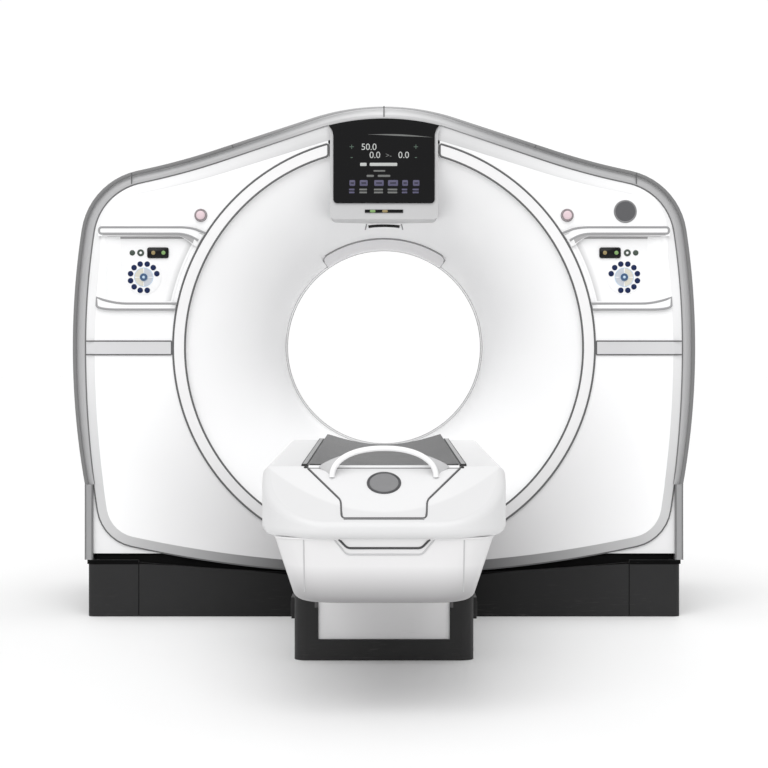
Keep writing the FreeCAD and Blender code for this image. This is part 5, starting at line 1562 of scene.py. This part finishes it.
def screenBar(name, x, z, width, height, material, corner=0.0015):
    low = (x - width / 2, screen["front"] - 0.0005, z - height / 2)
    high = (x + width / 2, screen["front"] + 0.0002, z + height / 2)
    return slab(name, low, high, min(corner, height * 0.45), ("gantry", material, "dark_glass"), 0.0001)


def buildScreen():
    for number, (text, x, z) in enumerate(screen["digits"]):
        screenText("reading_%d" % number, text, x, z, screen["digitSize"], "glyphWhite")
    text, x, z, size = screen["pointer"]
    screenText("pointerMark", text, x, z, size, "glyphGrey")
    for place, x in enumerate(screen["signX"]):
        for sign, z in screen["signs"].items():
            name = "stepSign_%d_%s" % (place, "up" if sign == "+" else "down")
            screenText(name, sign, x, z, 0.034, "glyphGreen")
    for number, (first, last, z, height, material) in enumerate(screen["bars"]):
        screenBar("plainBar_%d" % number, (first + last) / 2, z, last - first, height, material, 0.003)
    upper, lower = screen["iconRows"]
    for number, (x, width) in enumerate(screen["icons"]):
        parts = [screenBar("iconPart", x, upper, width, 0.022, "glyphBlue", 0.004)]
        for level in (0.0055, -0.0055):
            parts.append(
                screenBar(
                    "iconPart",
                    x - 0.002,
                    lower + level,
                    width * 0.95,
                    0.0065,
                    "glyphGrey" if 0 < number < 4 else "glyphBlue",
                )
            )
        joinPieces("icon_%d" % number, parts)
        mark = screenBar("iconMark_%d" % number, x, upper, width * 0.62, 0.0040, "displayGlass")
        mark.location.y = -0.0002
        placePiece(mark, mark.name, ("gantry", "displayGlass", "dark_glass"))
    # a painted reflection of a light across the top of the glass
    gloss = screen["gloss"]
    (first, last), high = gloss["x"], gloss["z"]
    upperLine, lowerLine = [], []
    for step in range(25):
        t = step / 24
        x = first + (last - first) * t
        z = high - gloss["sag"] * t * t
        half = gloss["width"] / 2 * math.sin(math.pi * t) ** 1.5 + 0.0002
        upperLine.append((x, z + half))
        lowerLine.append((x, z - half))
    skins = [atDepth(line, screen["front"] - 0.0003) for line in (upperLine, lowerLine)]
    ribbon("glossReflection", skins, ("gantry", "glyphGrey", "dark_glass"), 0.0002)
    slot = screen["slot"]
    for material, x in slot["lamps"].items():
        halfWidth, halfHeight = slot["half"]
        low = (x - halfWidth, slot["front"] - 0.0008, slot["z"] - halfHeight)
        high = (x + halfWidth, slot["front"] + 0.0002, slot["z"] + halfHeight)
        slab("chin_" + material, low, high, 0.0045, ("gantry", material, "dark_glass"))


buildScreen()
print("the display is dressed")


# blank badges

badge = {"x": 0.914, "z": 1.534, "face": 0.0375, "rim": 0.0435, "front": -0.5500, "thick": 0.0030}


def badgeProfiles(face, rim, front, thick):
    # a sunk blank face inside a raised round rim
    blank = [
        (front - thick * 0.5, 0.0),
        (front - thick * 0.5, face + 0.001),
        (front + 0.0004, face + 0.001),
        (front + 0.0004, 0.0),
    ]
    edge = [(front + 0.0004, face)]
    edge += [
        (front - thick * height, face + (rim - face) * share)
        for height, share in ((0.6, 0), (0.9, 0.2), (1, 0.5), (0.9, 0.8), (0.5, 1))
    ]
    edge.append((front + 0.0004, rim))
    return blank, edge


def buildBadge():
    blank, edge = badgeProfiles(badge["face"], badge["rim"], badge["front"], badge["thick"])
    place = (badge["x"], badge["z"])
    turned("coverBadge", place, blank, ("gantry", "badgeFace", "band"), 64)
    turned("coverBadgeRim", place, edge, ("gantry", "discGrey", "band"), 64, True)


buildBadge()


# patient table: end cap, handle, rails, belly and base

capSlope = {"start": -2.500, "top": 0.691, "angle": 35.0}


def slopePoint(x, z, sink=0.0):
    run = (capSlope["top"] - z) / math.tan(math.radians(capSlope["angle"]))
    return (x, capSlope["start"] - run + sink, z)


capShell = {
    "corners": [(0.2092, 0.6902), (0.2092, 0.6850), (0.1148, 0.6052), (0.1110, 0.5624)],
    "turn": 0.004,
    "back": -2.5003,
    "lip": {"half": 0.2085, "y": (-2.5068, -2.4999), "z": (0.6845, 0.6940)},
}


def buildCapShell():
    # the cap without the bosses of the handle, and the white lip behind it
    corners = capShell["corners"]
    outline = rounded(corners + [(-x, z) for x, z in reversed(corners)], capShell["turn"])
    piece = bridged(
        "capShell", [atDepth(outline, capShell["back"]), [slopePoint(x, z) for x, z in outline]], closed=True
    )
    piece = placePiece(piece, "capShell", ("cradle_unit", "noseWhite", "table_white"))
    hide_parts("cradle_end_cap")
    lip = capShell["lip"]
    half, (near, far), (low, high) = lip["half"], lip["y"], lip["z"]
    slab(
        "capLip",
        (-half, near, low),
        (half, far, high),
        0.002,
        ("cradle_unit", "handleWhite", "table_white"),
        0.0016,
    )
    groove = [(half * t / 10, near - 0.0004, low + 0.0012) for t in range(-10, 11)]
    beads("capGroove", [groove], 0.0042, ("cradle_unit", "seamSoft", "dark_glass"))
    # the cradle's dark front ends, shown as a dark line: partly their own dark colour, partly painted shade
    ends = [
        [(side * x, -2.5000, 0.6948 + 0.0016 * share) for share, x in ((0, 0.160), (1, 0.205))]
        for side in sides.values()
    ]
    beads("cradleEndLine", ends, 0.0042, ("cradle_unit", "seamDark", "dark_glass"))


tableSeams = {
    "rim": (0.2122, 0.6880),
    "shoulder": (0.1165, 0.6070),
    "foot": (0.1135, 0.5640),
    "turn": 0.010,
    "width": 0.0054,
}


def buildCapSeams():
    rim, shoulder, foot = tableSeams["rim"], tableSeams["shoulder"], tableSeams["foot"]
    turn = tableSeams["turn"]
    path = [rim] + bendPoints(towards(shoulder, rim, turn), shoulder, towards(shoulder, foot, turn), 4)
    path += bendPoints(towards(foot, shoulder, turn), foot, (foot[0] - turn, foot[1]), 5) + [(0.0, foot[1])]
    lines = [[slopePoint(side * x, z, 0.0006) for x, z in path] for side in sides.values()]
    beads("capSeam", lines, tableSeams["width"], ("table_top", "seamGrey", "dark_glass"))


handle = {
    "y": -2.542,
    "half": 0.1425,
    "low": 0.6640,
    "rise": 0.0790,
    "fullness": 2.2,
    "tube": 0.0078,
    "web": {"reach": (88, 26), "out": 0.033, "back": 0.0295, "lift": 0.023, "rows": 5},
}


def handlePoint(angle):
    # a round-shouldered arch; the angle runs from -90 at one foot to 90 at the other
    turn = math.radians(angle)
    power = 2 / handle["fullness"]
    across = math.copysign(abs(math.sin(turn)) ** power, turn)
    return (
        handle["half"] * across, handle["y"], handle["low"] + handle["rise"] * abs(math.cos(turn)) ** power
    )


def buildHandle():
    tube = [handlePoint(-90 + 180 * step / 64) for step in range(65)]
    piece = beads(
        "handleTube", [tube], 2 * handle["tube"], ("cradle_unit", "handleWhite", "handle_metal"), fullness=5
    )
    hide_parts("cradle_handle")
    web = handle["web"]
    (first, last), rows = web["reach"], web["rows"]
    for label, side in sides.items():
        paths = []
        for row in range(rows):
            share = row / (rows - 1)
            path = []
            for step in range(21):
                t = step / 20
                x, y, z = handlePoint(first + (last - first) * t)
                flare = 1 - t
                hollow = math.sin(math.pi * share) * 0.006 * flare
                x += share * (0.0045 + web["out"] * flare**1.6) - hollow * 0.5
                y += 0.003 + share * web["back"] * flare**1.3 + hollow
                z += share * web["lift"] * flare**2 - hollow * 0.6
                path.append((side * x, y, z))
            paths.append(path)
        piece = ribbon("handleWeb_" + label, paths, ("cradle_unit", "webGrey", "handle_metal"), 0.003)
        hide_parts("cradle_handle")


railCap = {
    "x": (0.2116, 0.2284),
    "y": (-2.4945, -2.4895),
    "z": (0.6880, 0.6976),
    "dot": (0.2162, 0.6876, 0.0050),
    "edges": (0.2132, 0.2268),
    "edgeZ": 0.6962,
}


def buildRailCaps():
    look = ("table_top", "rollerRubber", "rail_metal")
    (near, far), (low, high) = railCap["y"], railCap["z"]
    x, z, radius = railCap["dot"]
    lines = [
        [(side * x, y, railCap["edgeZ"]) for y in (-2.488, -1.020)]
        for x in railCap["edges"]
        for side in sides.values()
    ]
    beads("railEdges", lines, 0.0030, ("table_top", "seamDark", "rail_metal"))
    for label, side in sides.items():
        first, last = sorted(side * value for value in railCap["x"])
        slab("railCap_" + label, (first, near, low), (last, far, high), 0.0022, look, 0.0008)
        turned("railPlug_" + label, (side * x, z), domeProfile(radius, 0.0012, -2.5062, -2.4990), look, 24)


slopeBadge = {"y": -2.560, "face": 0.0395, "rim": 0.0470, "thick": 0.0036}


def buildSlopeBadge():
    # turned about the frame's Y axis, then laid on the slope of the cap
    angle = capSlope["angle"]
    height = capSlope["top"] + (slopeBadge["y"] - capSlope["start"]) * math.tan(math.radians(angle))
    profiles = badgeProfiles(slopeBadge["face"], slopeBadge["rim"], 0.0, slopeBadge["thick"])
    for name, profile, material, closed in zip(
        ("capBadge", "capBadgeRim"), profiles, ("discGrey", "badgeDark"), (False, True)
    ):
        look = ("cradle_unit", material, "table_white")
        piece = turned(name, (0, 0), profile, look, 64, closed)
        piece.rotation_euler = (math.radians(angle - 90), 0, 0)
        piece.location = (0, slopeBadge["y"], height)
        placePiece(piece, name, look)


belly = {
    "half": 0.300,
    "front": -2.672,
    "rear": -1.640,
    "top": 0.5077,
    "bottom": 0.3265,
    "lean": 17.2,
    "corners": (0.120, 0.030),
    "roll": 0.021,
    "seamX": 0.2150,
    "rim": 0.0060,
    "slot": [(-0.1210, 0.5070), (-0.0980, 0.4824), (0.1000, 0.4824), (0.1230, 0.5070)],
    "slotLip": [(-0.1340, 0.5070), (-0.1000, 0.4648), (0.1020, 0.4648), (0.1360, 0.5070)],
}


def bellyLoop(z, roll=0.0):
    # the belly's rounded outline at a height, leaning in all round
    inset = (belly["top"] - z) * math.tan(math.radians(belly["lean"])) + roll
    half, front, rear = belly["half"] - inset, belly["front"] + inset, belly["rear"] - inset
    bend, rearBend = belly["corners"]
    loop = []
    for side in (1, -1):
        corner = bendPoints(
            (side * half, front + bend), (side * half, front), (side * (half - bend), front), 14
        )
        back = bendPoints(
            (side * (half - rearBend), rear), (side * half, rear), (side * half, rear - rearBend), 5
        )
        loop += back + corner if side > 0 else corner[::-1] + back[::-1]
    return [(x, y, z) for x, y in loop]


def bellyPoint(x, z, proud=0.0006):
    # a point on the front skin of the belly
    loop = bellyLoop(z)
    ahead = [point for point in loop if point[1] < belly["front"] + 0.25]
    for first, last in zip(ahead, ahead[1:]):
        if min(first[0], last[0]) <= x <= max(first[0], last[0]):
            share = (x - first[0]) / (last[0] - first[0]) if last[0] != first[0] else 0.0
            return (x, first[1] + (last[1] - first[1]) * share - proud, z)
    raise ValueError("no belly skin at x %.3f" % x)


def slotPath(points):
    first, second, third, last = points
    path = [first, *bendPoints(towards(second, first, 0.010), second, towards(second, third, 0.010))]
    path += [*bendPoints(towards(third, second, 0.010), third, towards(third, last, 0.010)), last]
    return [bellyPoint(x, z) for x, z in path]


def buildBelly():
    roll, bottom = belly["roll"], belly["bottom"]
    loops = [bellyLoop(z) for z in (belly["top"], 0.470, 0.430, 0.390, bottom + roll)]
    for step in range(1, 7):
        turn = math.radians(15 * step)
        loops.append(bellyLoop(bottom + roll * (1 - math.sin(turn)), roll * (1 - math.cos(turn))))
    piece = placePiece(
        bridged("bellyTub", loops, closed=True), "bellyTub", ("table_top", "bellyWhite", "table_white"), 50
    )
    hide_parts("belly_cover")
    rim = [(x, y, belly["top"] + 0.0002) for x, y, z in bellyLoop(belly["top"]) if y < belly["front"] + 0.30]
    beads("bellyRim", [rim], belly["rim"], ("table_top", "bellyWhite", "table_white"))
    beads("bellySlot", [slotPath(belly["slot"])], 0.0062, ("table_top", "seamDark", "dark_glass"))
    beads("bellySlotLip", [slotPath(belly["slotLip"])], 0.0045, ("table_top", "creaseGrey", "dark_glass"))
    lines = [
        [bellyPoint(side * belly["seamX"], z, 0.0002) for z in (0.507, 0.470, 0.430, 0.390, 0.358)]
        for side in sides.values()
    ]
    beads("bellySeams", lines, 0.0036, ("table_top", "creaseGrey", "dark_glass"))


pedal = {"x": 0.3053, "y": (-1.490, -1.350), "z": (0.137, 0.184), "ribs": 6}


def buildPedals():
    for label, side in sides.items():
        ribs = []
        first, last = pedal["y"]
        step = (last - first) / (pedal["ribs"] - 1)
        for number in range(pedal["ribs"]):
            middle = first + step * number
            ends = sorted((side * (pedal["x"] - 0.0008), side * (pedal["x"] + 0.0016)))
            low, high = (ends[0], middle - 0.004, pedal["z"][0]), (ends[1], middle + 0.004, pedal["z"][1])
            look = ("foot_pedal_%s_body" % label, "rollerRubber", "plinth")
            ribs.append(slab("pedalRib", low, high, 0.003, look))
        joinPieces("pedalRibs_" + label, ribs)


base = {"front": -1.560, "z": (0.172, 0.238), "strips": ((0.2150, 0.2255),)}


def buildTableBase():
    for label, side in sides.items():
        for number, strip in enumerate(base["strips"]):
            near, far = sorted(side * value for value in strip)
            low, high = (
                near, base["front"] - 0.0008, base["z"][0]
            ), (far, base["front"] + 0.0004, base["z"][1])
            slab("baseStrip_%s_%d" % (label, number), low, high, 0.001, ("gantry", "stripDark", "plinth"))


def buildTable():
    buildCapShell()
    buildCapSeams()
    buildHandle()
    buildRailCaps()
    buildSlopeBadge()
    buildBelly()
    buildPedals()
    buildTableBase()


buildTable()
print("the patient table is dressed")


# plinth joints

plinth = {
    "jointX": 0.929,
    "z": (0.004, 0.205),
    "front": -0.5482,
    "shade": {"x": 1.100, "z": (0.150, 0.246), "front": (-0.5150, -0.5110), "rear": (0.5130, 0.5170)},
    "lip": {
        "start": 0.9310,
        "reach": (1.1219, 0.5425),
        "turn": 0.026,
        "z": (0.1975, 0.2132),
        "thick": 0.013,
        "rearFace": 0.5484,
        "strips": {
            "outer": (
                [(0.800, 0.1938), (0.864, 0.1994), (0.928, 0.2055)],
                [(0.800, 0.1930), (0.864, 0.1966), (0.928, 0.1990)],
            ),
            "inner": (
                [(0.300, 0.1645), (0.380, 0.1674), (0.460, 0.1710), (0.500, 0.1730)],
                [(0.300, 0.1510), (0.380, 0.1600), (0.460, 0.1690), (0.500, 0.1726)],
            ),
        },
    },
}
joints = mirrored([(plinth["jointX"], z) for z in plinth["z"]])
frontSeam("plinthJoints", joints, plinth["front"], 0.0035, "shadowGap")
shade = plinth["shade"]
for label in ("front", "rear"):
    (near, far), (low, high) = shade[label], shade["z"]
    slab(
        "lipShade_" + label,
        (-shade["x"], near, low),
        (shade["x"], far, high),
        0.004,
        ("gantry", "shadowGap", "dark_glass"),
    )
lip = plinth["lip"]
# the plinth's black top lip and the strips under the cover's lower edge, darkened as painted shade of the gap
for label, side in sides.items():
    reach, turn = lip["reach"], lip["turn"]
    corner = bendPoints((reach[0] - turn, -reach[1]), (reach[0], -reach[1]), (reach[0], turn - reach[1]))
    plan = [
        (lip["start"], -reach[1]), *corner, *[(x, -y) for x, y in reversed(corner)], (lip["start"], reach[1])
    ]
    rows = [[(side * x, y, z) for x, y in plan] for z in lip["z"]]
    ribbon("plinthLipShade_" + label, rows, ("gantry", "lipShadeBlack", "plinth"), lip["thick"])
    for place, (high, low) in lip["strips"].items():
        for end, depth in (("front", plinth["front"] - 0.0004), ("rear", lip["rearFace"])):
            skins = [atDepth(flipped(row, side), depth) for row in (high, low)]
            ribbon("lipStrip_%s_%s_%s" % (place, end, label), skins, ("gantry", "lipShadeBlack", "plinth"))
print("the plinth has its joints and its lip")


# floor

floorLook = lookOf((0.96, 0.96, 0.96), 0.6, (40.0, 0.00002), shade=(0.955, 0.955, 0.955), dust=0.0)
bpy.ops.mesh.primitive_circle_add(vertices=96, radius=60, fill_type="NGON", location=(0, 0, -0.0005))
floor = bpy.context.object
floor.name = "studioFloor"
floor.data.materials.append(makeMaterial("floorPale", floorLook))
